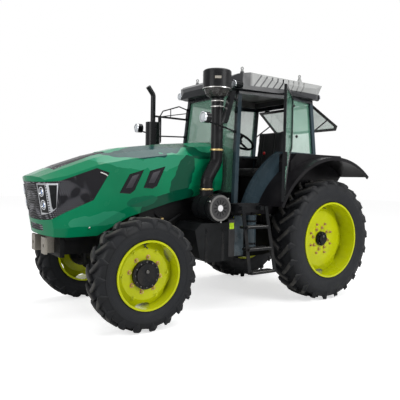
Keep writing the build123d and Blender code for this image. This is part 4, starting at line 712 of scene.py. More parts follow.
# sections: slices along a bar; splay, flare: its foot and its outer end grow by these shares
lugShape = {"lean": 48.0, "sections": 9, "edge": 0.005, "bow": 0.010, "splay": 0.26, "flare": 0.12,
            "ahead": 0.012,
            "crown": [(0, 0), (0.5, 0.001), (0.8, 0.006), (0.87, 0.016), (0.92, 0.036), (0.96, 0.066),
                      (1.1, 0.094)],
            "skin": [(0, 0), (0.75, 0.001), (0.84, 0.005), (0.92, 0.022), (0.97, 0.048), (1.1, 0.10)]}


def readTable(table, value):
    for (a, atA), (b, atB) in zip(table, table[1:]):
        if value <= b:
            return atA + (atB - atA) * (value - a) / (b - a)
    return table[-1][1]


def makeLug(look, half, outer):
    # one bar at the top of a wheel standing at the origin, running outwards to +Y
    tall, wide = look["lugTall"], look["lugWide"]
    tread = outer - tall
    lean = math.radians(lugShape["lean"])
    length = (0.955 * half + look["pastMiddle"]) / math.sin(lean)
    lug = newBlock("lugBar", Vector((0, -wide / 2, 0)), Vector((length, wide / 2, tall)))
    openFaces(lug, lambda centre, normal: True)
    for n in range(1, lugShape["sections"]):
        bpy.ops.mesh.select_all(action="SELECT")
        bpy.ops.mesh.bisect(plane_co=(length * n / lugShape["sections"], 0, 0), plane_no=(1, 0, 0))
    bpy.ops.mesh.select_all(action="DESELECT")
    mesh = bmesh.from_edit_mesh(lug.data)
    for edge in mesh.edges:
        faces = edge.link_faces
        sharp = len(faces) == 2 and faces[0].normal.dot(faces[1].normal) < 0.5
        if sharp and min(v.co.z for v in edge.verts) > tall - 0.001:
            edge.select_set(True)
    bmesh.update_edit_mesh(lug.data)
    bpy.ops.mesh.bevel(offset=lugShape["edge"], segments=1)
    closeEdit()
    # radius of the bar's crown and of the skin under it, by distance from the middle
    crown = [(share * half, outer - drop) for share, drop in lugShape["crown"]]
    skin = [(share * half, tread - drop) for share, drop in lugShape["skin"]]
    for vertex in lug.data.vertices:
        s, w, h = vertex.co.x, vertex.co.y, vertex.co.z / tall
        bow = lugShape["bow"] * math.sin(math.pi * s / length)
        w = w * (1 + lugShape["splay"] * (1 - h)) * (1 + lugShape["flare"] * s / length) + bow
        y = -look["pastMiddle"] + s * math.sin(lean) + w * math.cos(lean)
        x = -(s * math.cos(lean)) + w * math.sin(lean) + 0.42 * half / math.tan(lean) + lugShape["ahead"]
        y = max(min(y, half + 0.0015), -look["pastMiddle"] - 0.004)
        top, foot = readTable(crown, abs(y)), readTable(skin, abs(y)) - 0.007
        radius = foot + (top - foot) * h
        turn = x / tread
        vertex.co = (radius * math.sin(turn), y, radius * math.cos(turn))
    return smoothed(lug, 50)


def makeTyre(end, side):
    look, wheel = tyreLook[end], wheelSizes[end, side]
    half, outer, bead = wheel["half"] - 0.003, wheel["outer"], wheel["bead"]
    tread = outer - look["lugTall"]
    foot = wheel["rimHalf"] - 0.020
    wall = [(foot, bead + 0.001), (foot + 0.004, bead + 0.013), (foot + 0.013, bead + 0.018),
            (foot + 0.021, bead + 0.040), (half - 0.004, bead + 0.085), (half, bead + 0.125),
            (half - 0.001, tread - 0.090), (half - 0.005, tread - 0.055), (half - 0.013, tread - 0.026),
            (half - 0.028, tread - 0.006), (half - 0.046, tread), (0.0, tread)]
    otherWall = [(-y, radius) for y, radius in reversed(wall[:-1])]
    profile = wall + otherWall + [(-foot, bead - 0.006), (foot, bead - 0.006), wall[0]]
    centre = Vector(wheel["centre"])
    carcass = spun("carcass", profile, centre, leftward, look["steps"], 60)
    lug = makeLug(look, half, outer)
    bars = []
    step = 2 * math.pi / look["lugs"]
    for n in range(look["lugs"]):
        for way in (1, -1):
            turn = Matrix.Rotation(n * step + (0 if way > 0 else step / 2), 4, "Y")
            flip = Matrix.Scale(way, 4, (0, 1, 0))
            bar = copyMoved(lug, Matrix.Translation(centre) @ turn @ flip)
            if way < 0:
                bar.data.flip_normals()
            bars.append(bar)
    bpy.data.objects.remove(lug)
    tyre = joined(f"treadTyre_{end}_{side}", [carcass] + bars)
    putOn(tyre, f"wheel_{end}_{side}", f"tyre{end}{side}")
    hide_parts(f"tyre_{end}_{side}")


for end, side in wheelSizes:
    makeTyre(end, side)
print("tyres wrapped")


# ---- wheel fastenings, on the outer face of each disc
wheelNuts = {
    "rear": {"disc": 0.003, "rings": [(0.135, 8, 0.0165, 0.25), (0.190, 8, 0.0120, 0.5)], "hub": 0.031,
             "hubRing": (0.072, 8, 0.0065), "tabs": (0.372, 6, 0.052), "tabAt": -0.037},
    "front": {"disc": 0.032, "rings": [(0.165, 8, 0.0165, 0.25)], "hub": 0.064, "hubRing": (0.120, 12, 0.0075),
              "tabs": (0.238, 6, 0.044), "tabAt": 0.0},
}


# plug: how far out from the hub, radius; valve rods: how far out from the wheel's middle, rise
plugProfile = [(0.015, 0.0), (0.030, 0.0), (0.030, 0.013), (0.026, 0.017), (0.015, 0.017)]
valveShape = {"inset": 0.055, "stem": [(0.030, 0.0), (0.062, -0.010)],
              "cap": [(0.060, -0.0095), (0.078, -0.015)], "foot": [(0.030, 0.012), (0.031, -0.008)]}


def makeNut(centre, out, radius):
    # flanged hexagon nut with its stud
    flange = newRod("flange", centre, centre + out * 0.004, radius * 1.32, 20)
    nut = newRod("nut", centre + out * 0.003, centre + out * 0.020, radius, 6)
    soften(nut, 0.0016, 1, 25)
    stud = newRod("stud", centre + out * 0.018, centre + out * 0.029, radius * 0.52, 12, radius * 0.42)
    return joined("nut", [flange, nut, stud])


def makeWheelDetail(end, side):
    look, wheel = wheelNuts[end], wheelSizes[end, side]
    out = Vector((0, 1 if side == "left" else -1, 0))
    centre = Vector(wheel["centre"])
    body = f"wheel_{end}_{side}"
    face = centre + out * look["disc"]
    copper = []
    for radius, count, size, shift in look["rings"]:
        nut = makeNut(face + Vector((radius, 0, 0)) - out * 0.001, out, size)
        copper += turnedCopies(nut, count, centre, leftward, -2 * math.pi * shift / count)
    putJoined(f"wheelNuts_{end}_{side}", copper, body, "copperNut")
    radius, count, size = look["hubRing"]
    hub = look["hub"]
    bolt = newRod("bolt", centre + out * hub + ahead * radius - out * 0.001,
                  centre + out * (hub + 0.009) + ahead * radius, size, 6)
    bolts = turnedCopies(bolt, count, centre, leftward)
    profile = [(hub + along, wide) for along, wide in plugProfile]
    plug = spun("fillPlug", profile, centre + upward * 0.03, out, 24)
    putJoined(f"hubBolts_{end}_{side}", bolts + [plug], body, "darkSteel")
    radius, count, size = look["tabs"]
    at = centre + out * (look["disc"] + look["tabAt"] - 0.002) + ahead * radius
    tab = newBlock("tab", at - Vector((size / 2, 0.004, size / 2)), at + Vector((size / 2, 0.004, size / 2)))
    soften(tab, 0.0035, 2)
    head = newRod("tabBolt", at, at + out * 0.018, 0.011, 6)
    tabs = turnedCopies(joined("tab", [tab, head]), count, centre, leftward)
    putJoined(f"rimClamps_{end}_{side}", tabs, body, "wheelLime")
    stemRadius = wheel["bead"] - valveShape["inset"]

    def ends(part):
        return [centre + out * far + upward * (stemRadius + rise) for far, rise in valveShape[part]]
    stem = newRod("valve", *ends("stem"), 0.006, 10, 0.004)
    cap = newRod("cap", *ends("cap"), 0.0065, 10)
    foot = newRod("stemFoot", *ends("foot"), 0.009, 12, 0.007)
    putJoined(f"valveStem_{end}_{side}", [stem, cap, foot], body, "darkSteel")


for end, side in wheelSizes:
    makeWheelDetail(end, side)
print("wheel fastenings set")


def slab(name, outline, low, high, axis="y"):
    # flat plate: outline as pairs on the two other axes, thick from low to high along the axis
    def at(pair, level):
        return spot(pair[0], level, pair[1]) if axis == "y" else spot(level, pair[0], pair[1])
    points = [at(pair, low) for pair in outline]
    piece = traceLine(name, points)
    bpy.ops.mesh.edge_face_add()
    thick = at(outline[0], high) - points[0]
    bpy.ops.mesh.extrude_region_move(TRANSFORM_OT_translate={"value": thick})
    bpy.ops.mesh.select_all(action="SELECT")
    bpy.ops.mesh.normals_make_consistent(inside=False)
    closeEdit()
    return piece


def shrink(outline, share):
    middleX = sum(point[0] for point in outline) / len(outline)
    middleZ = sum(point[1] for point in outline) / len(outline)
    return [(middleX + (x - middleX) * share, middleZ + (z - middleZ) * share) for x, z in outline]


# ---- nose, lamps and hood trim
noseShape = {"front": 3.345, "bow": 1.360, "top": 1.430, "rake": 0.1673}


def noseAt(y, z):
    # how far ahead the rounded, raked nose face lies
    bow = noseShape["bow"] - math.sqrt(noseShape["bow"] ** 2 - y * y)
    return noseShape["front"] - bow - (noseShape["top"] - z) * noseShape["rake"]


headlampLook = {"face": (0.226, 0.343, 1.103, 1.362), "windows": [(0.284, 1.300), (0.284, 1.178)],
                "ring": 0.046, "column": (0.362, 1.235, 0.115), "ribs": 11,
                "side": [(3.182, 1.364), (3.256, 1.364), (3.228, 1.165), (3.214, 1.135), (3.186, 1.155)]}


def onNose(piece, proud):
    # lay a subdivided block on the nose: its front face stands proud of it, its back lies 8 mm under
    middle = sum(point.co.x for point in piece.data.vertices) / len(piece.data.vertices)
    for point in piece.data.vertices:
        lift = proud if point.co.x > middle else -0.008
        point.co.x = noseAt(point.co.y - midY, point.co.z) + lift + rearAxleX
    return piece


def makeHeadlamps():
    # a dark face in each silver lamp with two projectors, and a ribbed column outside them
    inner, outer, low, high = headlampLook["face"]
    face = newBlock("lampFace", spot(3.20, inner, low), spot(3.21, outer, high))
    openFaces(face, lambda centre, normal: True)
    bpy.ops.mesh.select_all(action="SELECT")
    bpy.ops.mesh.subdivide(number_cuts=4)
    closeEdit()
    dark, rings, lenses = [onNose(face, 0.0006)], [], []
    wide, out = headlampLook["ring"], Vector((1, 0.2, -0.1))
    for y, z in headlampLook["windows"]:
        x = noseAt(y, z)
        rings.append(ring("lampRing", [(-0.006, wide - 0.008), (0.004, wide - 0.008), (0.0055, wide - 0.005),
                                       (0.004, wide), (-0.006, wide)], spot(x, y, z), out, 32))
        rings.append(ring("lampCup", [(-0.006, 0.024), (0.003, 0.024), (0.0045, 0.026), (0.001, 0.030),
                                      (-0.006, 0.030)], spot(x, y, z), out, 32))
        lenses.append(newBall("lens", spot(x - 0.007, y, z), 0.0245, (0.55, 1, 1), 12))
    y, z, half = headlampLook["column"]
    gaps = headlampLook["ribs"] - 1
    for n in range(headlampLook["ribs"]):
        level = z + half * (2 * n - gaps) / gaps
        x = noseAt(y, level)
        low, high = (x - 0.006, y - 0.008, level - 0.0065), (x + 0.001, y + 0.008, level + 0.0065)
        dark.append(softBlock("lampRib", low, high, 0.002))
    dark.append(slab("lampSide", headlampLook["side"], 0.3790, 0.3828))
    putBoth("lampFaces", dark, "hood", "partsBlack")
    putBoth("lampRings", rings, "hood", "lampChrome")
    putBoth("lampLenses", lenses, "hood", "blueLens")


makeHeadlamps()

hoodTrim = {
    "vents": [[(2.450, 1.480), (2.285, 1.530), (2.390, 1.318), (2.440, 1.282), (2.560, 1.290)],
              [(2.215, 1.520), (2.030, 1.572), (2.130, 1.362), (2.180, 1.335), (2.290, 1.342)]],
    "ventInner": [[(2.418, 1.468), (2.326, 1.496), (2.418, 1.338), (2.500, 1.330)],
                  [(2.180, 1.508), (2.076, 1.538), (2.158, 1.392), (2.240, 1.384)]],
    "accent": [(2.760, 1.498), (2.700, 1.478), (2.655, 1.440), (2.663, 1.434), (2.706, 1.468), (2.764, 1.488)],
    "catch": (2.87, 0.955),
    "slats": {"count": 12, "foot": 1.135, "pitch": 0.021, "radius": 0.0042,
              "across": (-0.19, -0.1, 0.0, 0.1, 0.19)},
}


def makeHoodTrim():
    rims, panels = [], []
    for outline, inner in zip(hoodTrim["vents"], hoodTrim["ventInner"]):
        rim = slab("ventRim", shrink(outline, 0.97), 0.386, 0.3995)
        openFaces(rim, lambda centre, normal: normal.y > 0.9)
        bpy.ops.mesh.inset(thickness=0.012, depth=-0.009)
        closeEdit()
        rims.append(soften(rim, 0.002, 2))
        panel = slab("ventPanel", shrink(inner, 0.92), 0.389, 0.3965)
        panels.append(soften(panel, 0.003, 2))
    putBoth("ventRims", rims, "hood", "partsBlack")
    putBoth("ventPanels", panels, "hood", "ventGrey")
    accent = soften(slab("grilleAccent", hoodTrim["accent"], 0.390, 0.3985), 0.001, 1)
    putBoth("grilleAccents", [accent], "hood", "brightSteel")
    # catches low on the hood sides, and slats across the nose
    x, z = hoodTrim["catch"]
    catch = newRod("catch", spot(x, 0.392, z), spot(x, 0.401, z), 0.011, 20)
    putBoth("hoodCatches", [soften(catch, 0.002, 2)], "hood", "brightSteel")
    slats = hoodTrim["slats"]
    for n in range(slats["count"]):
        z = slats["foot"] + slats["pitch"] * n
        points = [spot(noseAt(y, z) - 0.005, y, z) for y in slats["across"]]
        bar = putOn(bentPipe("noseSlat", points, slats["radius"]), "hood", "partsBlack")
        bar.name = f"noseSlat_{n}"


makeHoodTrim()
print("hood trim fitted")


# ---- round lamps on stalks and roof
lampPlaces = [
    {"at": (1.794, 0.730, 2.080), "way": 1, "radius": 0.055},
    {"at": (1.262, 0.552, 2.512), "way": 1, "radius": 0.044},
    {"at": (-0.128, 0.560, 2.510), "way": -1, "radius": 0.041},
]


def makeRoundLamps():
    bezels, lenses = [], []
    for lamp in lampPlaces:
        centre, way, radius = spot(*lamp["at"]), ahead * lamp["way"], lamp["radius"]
        profile = [(-0.012, 0.002), (0.001, 0.002), (0.004, -0.002), (0.004, -0.007), (-0.002, -0.009),
                   (-0.012, -0.009)]
        profile = [(along, radius + step) for along, step in profile]
        bezels.append(ring("bezel", profile, centre, way, 40))
        lenses.append(spun("lens", [(0.006, 0.0), (0.005, radius * 0.4), (0.002, radius * 0.7),
                                    (-0.002, radius - 0.008), (-0.010, radius - 0.008), (-0.010, 0.0)],
                           centre, way, 32))
    putBoth("lampBezels", bezels, "chassis", "lampChrome")
    putBoth("lampGlasses", lenses, "chassis", "clearLens")


makeRoundLamps()


# ---- intake, air cleaner and precleaner trim
intakeTrim = {
    "bands": [("brassClamp", (1.450, 0.520), 1.768, 0.0745, 0.020),
              ("brassClamp", (1.580, 0.520), 1.335, 0.0775, 0.018),
              ("brightSteel", (1.450, 0.520), 2.238, 0.0745, 0.014),
              ("brightSteel", (1.450, 0.520), 2.300, 0.0715, 0.012)],
    "drum": {"at": (1.462, 0.520), "foot": 2.428, "radius": 0.156, "plateWay": (0.55, 0.835, 0),
             "rings": ((0.000, 0.008, 0.003), (0.052, 0.004, 0.0012), (0.150, 0.004, 0.0012)),
             "bowl": [(-0.094, 0.076), (-0.060, 0.1185), (-0.034, 0.1305), (-0.004, 0.1425), (-0.004, 0.139),
                      (-0.034, 0.127), (-0.060, 0.115), (-0.094, 0.073)],
             "knob": [(0.204, 0.0), (0.204, 0.026), (0.206, 0.028), (0.214, 0.024), (0.216, 0.0)]},
    "cap": {"at": (1.560, 0.750, 1.140), "radius": 0.136, "slots": 12, "hoops": (-0.085, -0.225),
            "clips": (0.5, 2.4, 4.6), "clipRadius": 0.150,
            "slot": ((0.047, 0.0005, -0.0075), (0.088, 0.0032, 0.0075))},
}


def makeDuctBands():
    # worm-drive clamps with their screws
    for n, (finish, (x, y), z, radius, tall) in enumerate(intakeTrim["bands"]):
        band = ring("band", [(0.0, radius - 0.004), (0.0, radius), (tall * 0.25, radius + 0.0012),
                             (tall * 0.75, radius + 0.0012), (tall, radius), (tall, radius - 0.004)],
                    spot(x, y, z - tall / 2), upward, 40)
        side, half = y + radius, tall * 0.45
        screwAt = side + 0.004
        screw = newRod("bandScrew", spot(x - 0.020, screwAt, z), spot(x + 0.020, screwAt, z), 0.005, 10)
        low, high = (x - 0.012, side - 0.004, z - half), (x + 0.012, side + 0.008, z + half)
        lug = softBlock("bandLug", low, high, 0.0015)
        putJoined(f"ductBand_{n}", [band, screw, lug], "chassis", finish)


def makeDrumTrim():
    # precleaner: rings, smoked bowl, knob and a blank plate
    drum = intakeTrim["drum"]
    (x, y), foot, radius = drum["at"], drum["foot"], drum["radius"]
    rings = [ring("drumRing", [(at, radius - 0.003), (at, radius + grow), (at + tall, radius + grow),
                               (at + tall, radius - 0.003)], spot(x, y, foot), upward, 56)
             for at, tall, grow in drum["rings"]]
    putJoined("drumRings", rings[1:], "chassis", "partsBlack")
    putOn(rings[0], "chassis", "brightSteel").name = "bowlRing"
    bowl = ring("precleanerBowl", drum["bowl"], spot(x, y, foot), upward, 56)
    putOn(bowl, "chassis", "smokedBowl")
    knob = spun("drumKnob", drum["knob"], spot(x, y, foot - 0.001), upward, 24)
    putOn(knob, "chassis", "partsBlack")
    out = Vector(drum["plateWay"]).normalized()
    plateAt = spot(x, y, foot + 0.105) + out * (radius + 0.001)
    turn = out.to_track_quat("X", "Z").to_matrix().to_4x4()
    corner = Vector((0.0015, 0.034, 0.014))
    plate = soften(newBlock("drumPlate", -corner, corner), 0.001, 1)
    plate.data.transform(Matrix.Translation(plateAt) @ turn)
    putOn(plate, "chassis", "plateBeige")


def makeCleanerCap():
    # slotted end cap of the air cleaner, its hoops and clips
    cap = intakeTrim["cap"]
    centre, radius, out = spot(*cap["at"]), cap["radius"], leftward
    profile = [(-0.014, radius + 0.004), (0.001, radius + 0.004), (0.005, radius), (0.005, 0.096),
               (0.002, 0.093), (0.002, 0.040), (0.004, 0.038), (0.004, 0.0), (-0.014, 0.0)]
    dish = ring("cleanerCap", profile, centre, out, 64)
    putOn(dish, "chassis", "panelGrey")
    rim = ring("capRim", [(0.004, 0.116), (0.0065, 0.118), (0.0065, 0.136), (0.004, 0.138)], centre, out, 64)
    putOn(rim, "chassis", "filterGrey")
    low, high = (Vector(corner) for corner in cap["slot"])
    slot = newBlock("capSlot", centre + low, centre + high)
    slots = turnedCopies(soften(slot, 0.001, 1), cap["slots"], centre, out)
    putJoined("capSlots", slots, "chassis", "softRubber")
    badge = spun("capCentre", [(0.004, 0.034), (0.0065, 0.033), (0.0065, 0.0)], centre, out, 32)
    putOn(badge, "chassis", "blankWhite")
    profile = [(0.0, 0.1475), (0.0, 0.151), (0.012, 0.151), (0.012, 0.1475)]
    hoops = [ring("hoop", profile, centre + out * at, out, 56) for at in cap["hoops"]]
    putJoined("cleanerHoops", hoops, "chassis", "partsBlack")
    for n, angle in enumerate(cap["clips"]):
        at = centre + Vector((math.cos(angle), 0, math.sin(angle))) * cap["clipRadius"]
        clip = newRod("clip", at - out * 0.050, at - out * 0.010, 0.005, 8)
        hook = newBlock("hook", at + Vector((-0.008, -0.014, -0.008)), at + Vector((0.008, -0.004, 0.008)))
        putJoined(f"capClip_{n}", [clip, soften(hook, 0.002, 1)], "chassis", "brightSteel")


hosePath = {"line": [(1.580, 1.360), (1.580, 1.440), (1.450, 1.640), (1.450, 1.745)], "bend": 0.0445,
            "y": 0.520, "pitch": 0.024, "core": 0.0655, "crest": 0.0715}


def hosePoints():
    # the duct's middle line: straight runs with a curve at each corner
    run = [Vector((x, hosePath["y"], z)) for x, z in hosePath["line"]]
    line = [run[0]]
    for before, corner, after in zip(run, run[1:], run[2:]):
        start = corner + (before - corner).normalized() * hosePath["bend"]
        end = corner + (after - corner).normalized() * hosePath["bend"]
        for n in range(9):
            t = n / 8
            line.append(start * (1 - t) ** 2 + corner * 2 * t * (1 - t) + end * t * t)
    return line + [run[-1]]


def makeHoseRibs():
    ribs, line, core, crest = [], hosePoints(), hosePath["core"], hosePath["crest"]
    profile = [(-0.0085, core), (-0.004, crest), (0.004, crest), (0.0085, core)]
    due = 0.0
    for first, second in zip(line, line[1:]):
        length = (second - first).length
        while due <= length:
            place = first.lerp(second, due / length)
            ribs.append(ring("rib", profile, spot(*place), second - first, 32))
            due += hosePath["pitch"]
        due -= length
    putJoined("hoseRibs", ribs, "chassis", "ductRubber")


makeDuctBands()
makeDrumTrim()
makeCleanerCap()
makeHoseRibs()
print("intake trimmed")


# ---- tank panel, ladders and step boards
sideTrim = {
    "treads": [0.430, 0.690, 0.930], "treadRear": (0.860, 1.020), "treadFront": (1.230, 1.350),
    "railFoot": 0.420, "railTop": 1.160, "inner": 0.785, "outer": 0.893, "edge": 0.026,
    "board": {"x": (1.040, 1.330), "y": (0.655, 0.790), "top": 1.180, "ribs": 6},
}


def makeLadderTreads():
    strips = []
    (rearFoot, rearTop), (frontFoot, frontTop) = sideTrim["treadRear"], sideTrim["treadFront"]
    inner, outer = sideTrim["inner"], sideTrim["outer"]
    for z in sideTrim["treads"]:
        share = (z - sideTrim["railFoot"]) / (sideTrim["railTop"] - sideTrim["railFoot"])
        rear = rearFoot + (rearTop - rearFoot) * share + sideTrim["edge"]
        front = frontFoot + (frontTop - frontFoot) * share - sideTrim["edge"]
        plate = newBlock("treadPlate", spot(rear, inner, z + 0.0115), spot(front, outer, z + 0.0145))
        openFaces(plate, lambda centre, normal: normal.z > 0.9)
        bpy.ops.mesh.subdivide(number_cuts=6)
        bpy.ops.mesh.inset(thickness=0.006, depth=0.003, use_individual=True)
        closeEdit()
        strips.append(plate)
    putBoth("ladderTreads", strips, "chassis", "brightSteel")
    board = sideTrim["board"]
    (rear, front), (inner, outer), top = board["x"], board["y"], board["top"]
    ribs = []
    for n in range(board["ribs"]):
        y = inner + (outer - inner) * n / (board["ribs"] - 1)
        ribs.append(softBlock("rib", (rear, y - 0.004, top - 0.002), (front, y + 0.004, top + 0.006), 0.002))
    putBoth("stepBoards", ribs, "chassis", "softRubber")


tankTrim = {
    "panel": ((1.306, 0.604, 0.600), (1.392, 0.6925, 1.008)),
    "label": ((1.322, 0.690, 0.905), (1.384, 0.6938, 0.972)),
    "capAt": (1.356, 0.600, 1.020), "grip": ((1.322, 0.594, 1.076), (1.390, 0.606, 1.088)),
    "cap": [(0.020, 0.0), (0.020, 0.040), (0.024, 0.043), (0.052, 0.041), (0.058, 0.034), (0.060, 0.0)],
    "straps": (1.470, 1.690), "strapLow": 0.562, "strapHigh": 0.930,
    "bandsAt": (0.970, 0.560), "bands": (0.700, 0.960),
}


def makeTankTrim():
    putOn(softBlock("tankPanel", *tankTrim["panel"], 0.006, 3), "chassis", "panelGrey")
    putOn(softBlock("limeLabel", *tankTrim["label"], 0.001), "chassis", "limeLabel")
    cap = spun("fillerCap", tankTrim["cap"], spot(*tankTrim["capAt"]), upward, 36)
    grip = softBlock("capGrip", *tankTrim["grip"], 0.003, 2)
    putJoined("tankCap", [cap, grip], "chassis", "softRubber")
    straps = []
    low, high = tankTrim["strapLow"], tankTrim["strapHigh"]
    for x in tankTrim["straps"]:
        outline = [(x - 0.018, low), (x + 0.018, low), (x + 0.018, high), (x - 0.018, high)]
        straps.append(soften(slab("tankStrap", outline, 0.688, 0.6925), 0.001, 1))
        straps.append(newRod("strapBolt", spot(x, 0.690, 0.90), spot(x, 0.700, 0.90), 0.010, 6))
    putJoined("tankStraps", straps, "chassis", "partsBlack")
    profile = [(0.0, 0.0675), (0.0, 0.0705), (0.022, 0.0705), (0.022, 0.0675)]
    bands = [ring("band", profile, spot(*tankTrim["bandsAt"], z), upward, 36) for z in tankTrim["bands"]]
    putBoth("reservoirBands", bands, "chassis", "partsBlack")


bayLook = {
    "hoses": [[(2.240, 0.235, 1.010), (2.120, 0.330, 0.980), (1.980, 0.350, 0.960), (1.840, 0.320, 1.020),
               (1.730, 0.240, 1.050)],
              [(2.200, 0.240, 0.930), (2.060, 0.350, 0.900), (1.930, 0.330, 0.860), (1.800, 0.240, 0.840)],
              [(2.080, 0.240, 1.080), (2.010, 0.300, 1.010), (1.990, 0.310, 0.900), (2.020, 0.240, 0.800)]],
    "hoseRadius": 0.012,
    "unions": [(2.120, 0.330, 0.980), (1.980, 0.350, 0.960), (2.060, 0.350, 0.900), (2.010, 0.300, 1.010)],
    "filter": (2.145, 0.300, 0.780), "bracket": ((2.115, 0.235, 0.900), (2.175, 0.315, 0.916)),
    "can": [(0.0, 0.0), (0.0, 0.034), (0.008, 0.042), (0.110, 0.042), (0.116, 0.046), (0.128, 0.046),
            (0.132, 0.030), (0.132, 0.0)],
}


def makeBay():
    # hoses, brass unions and a spin-on filter seen under the hood's edge
    for n, points in enumerate(bayLook["hoses"]):
        hose = bentPipe(f"bayHose_{n}", [spot(*point) for point in points], bayLook["hoseRadius"])
        putOn(hose, "chassis", "softRubber")
    unions = [newRod("union", spot(x - 0.016, y, z), spot(x + 0.016, y, z), 0.0175, 6)
              for x, y, z in bayLook["unions"]]
    putJoined("bayUnions", unions, "chassis", "brassClamp")
    can = spun("fuelFilter", bayLook["can"], spot(*bayLook["filter"]), upward, 32)
    putOn(can, "chassis", "chassisBlack")
    putOn(softBlock("filterBracket", *bayLook["bracket"], 0.002), "chassis", "partsBlack")


makeBay()
makeLadderTreads()
makeTankTrim()
print("tank and steps trimmed")


# ---- seat, controls and linings in the cab
seatShape = {
    "cushion": {"node": "seat_cushion", "half": (0.235, 0.240, 0.065), "lean": 0.04, "face": 2},
    "back": {"node": "seat_back", "half": (0.050, 0.222, 0.240), "lean": -0.14, "face": 0},
}
# cap: the farthest a point may swell; seams: shares of the half width
seatCover = {"margin": 0.020, "cap": 0.016, "seams": (-0.42, 0.42), "groove": 0.007, "grooveWide": 0.035,
             "hollow": 0.006, "voxel": 0.006, "quickVoxel": 0.010, "pressure": 4.0, "steps": 20}


def padBlank(name, half):
    # a rounded block about the origin, cut fine enough to swell
    piece = newBlock(name, Vector([-part for part in half]), Vector(half))
    openFaces(piece, lambda centre, normal: True)
    bpy.ops.mesh.subdivide(number_cuts=5)
    closeEdit()
    return soften(piece, min(half) * 0.55, 4, 60)


def puffUp(piece):
    # pressure inside the skin, no gravity; no point moves farther than the cap
    soft = piece.copy()
    soft.data = piece.data.copy()
    bpy.context.scene.collection.objects.link(soft)
    makeActive(soft)
    remesh = soft.modifiers.new("Skin", "REMESH")
    remesh.mode = "VOXEL"
    remesh.voxel_size = seatCover["voxel"]
    bpy.ops.object.modifier_apply(modifier="Skin")
    start = [point.co.copy() for point in soft.data.vertices]
    cloth = soft.modifiers.new("Cloth", "CLOTH")
    cloth.settings.quality = 4
    cloth.settings.use_pressure = True
    cloth.settings.uniform_pressure_force = seatCover["pressure"]
    cloth.settings.effector_weights.gravity = 0.0
    cloth.point_cache.frame_start, cloth.point_cache.frame_end = 1, seatCover["steps"]
    for step in range(1, seatCover["steps"] + 1):
        bpy.context.scene.frame_set(step)
    bpy.ops.object.modifier_apply(modifier="Cloth")
    bpy.context.scene.frame_set(1)
    for point, first in zip(soft.data.vertices, start):
        moved = point.co - first
        if moved.length > seatCover["cap"]:
            point.co = first + moved * (seatCover["cap"] / moved.length)
    bpy.data.objects.remove(piece)
    smoother = soft.modifiers.new("Round", "SUBSURF")
    smoother.levels = smoother.render_levels = 1
    bpy.ops.object.modifier_apply(modifier="Round")
    return soft


def pressSeams(piece, shape):
    # sewn channels along the pad, a groove each, and a hollow in the middle
    half, face = shape["half"], shape["face"]
    for point in piece.data.vertices:
        across = point.co.y / half[1]
        near = min(abs(across - seam) for seam in seatCover["seams"])
        press = seatCover["groove"] * math.exp(-(near / seatCover["grooveWide"]) ** 2)
        middle = max(0.0, 1 - (across / seatCover["seams"][1]) ** 2) * seatCover["hollow"]
        if point.co[face] > half[face] * 0.5:
            point.co[face] -= press + middle
    return piece


armrest = {"side": 0.262, "x": (0.120, 0.400), "z": (1.715, 1.750), "half": 0.022}


def makeSeat():
    for name, shape in seatShape.items():
        pad = padBlank(f"seat_{name}_pad", [part - seatCover["margin"] for part in shape["half"]])
        pad = pressSeams(puffUp(pad), shape)
        pad.name = f"seat_{name}_pad"
        node = shape["node"]
        pad.data.transform(Matrix.Rotation(shape["lean"], 4, "Y"))
        # fill the carried pad's own box
        low, high = (Vector(corner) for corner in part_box(node))
        points = pad.data.vertices
        least = [min(point.co[k] for point in points) for k in range(3)]
        most = [max(point.co[k] for point in points) for k in range(3)]
        for point in points:
            for k in range(3):
                share = (point.co[k] - least[k]) / (most[k] - least[k])
                point.co[k] = low[k] + share * (high[k] - low[k])
        smoothed(pad, 60)
        putOn(pad, "chassis", "seatCloth")
        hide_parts(node)
    arms = []
    (rear, front), (low, high), half = armrest["x"], armrest["z"], armrest["half"]
    for y in (-armrest["side"], armrest["side"]):
        arms.append(softBlock("armrest", (rear, y - half, low), (front, y + half, high), 0.012, 4))
        arms.append(newRod("armPost", spot(0.140, y * 0.97, 1.735), spot(0.150, y * 0.80, 1.640), 0.009, 10))
    putJoined("armrests", arms, "chassis", "softRubber")


cabControls = {
    "levers": [((0.520, 0.330, 1.590), (0.560, 0.325, 1.780), "redKnob"),
               ((0.450, 0.360, 1.590), (0.475, 0.360, 1.740), "softRubber"),
               ((0.380, 0.360, 1.590), (0.390, 0.365, 1.720), "softRubber"),
               ((0.560, -0.330, 1.590), (0.600, -0.325, 1.760), "softRubber"),
               ((0.480, -0.350, 1.590), (0.500, -0.350, 1.730), "amberKnob"),
               ((0.400, -0.350, 1.590), (0.410, -0.350, 1.700), "softRubber")],
    "boot": [(0.0, 0.028), (0.010, 0.027), (0.018, 0.019), (0.026, 0.020), (0.034, 0.012), (0.046, 0.009),
             (0.046, 0.0), (0.0, 0.0)],
    "pedals": [(0.985, 0.145), (0.985, -0.085), (0.985, -0.175)],
    "boss": [(0.012, 0.0), (0.012, 0.030), (0.006, 0.040), (-0.004, 0.043), (-0.004, 0.0)],
    "bossAt": (0.700, 0.0, 1.945), "column": 32,
}


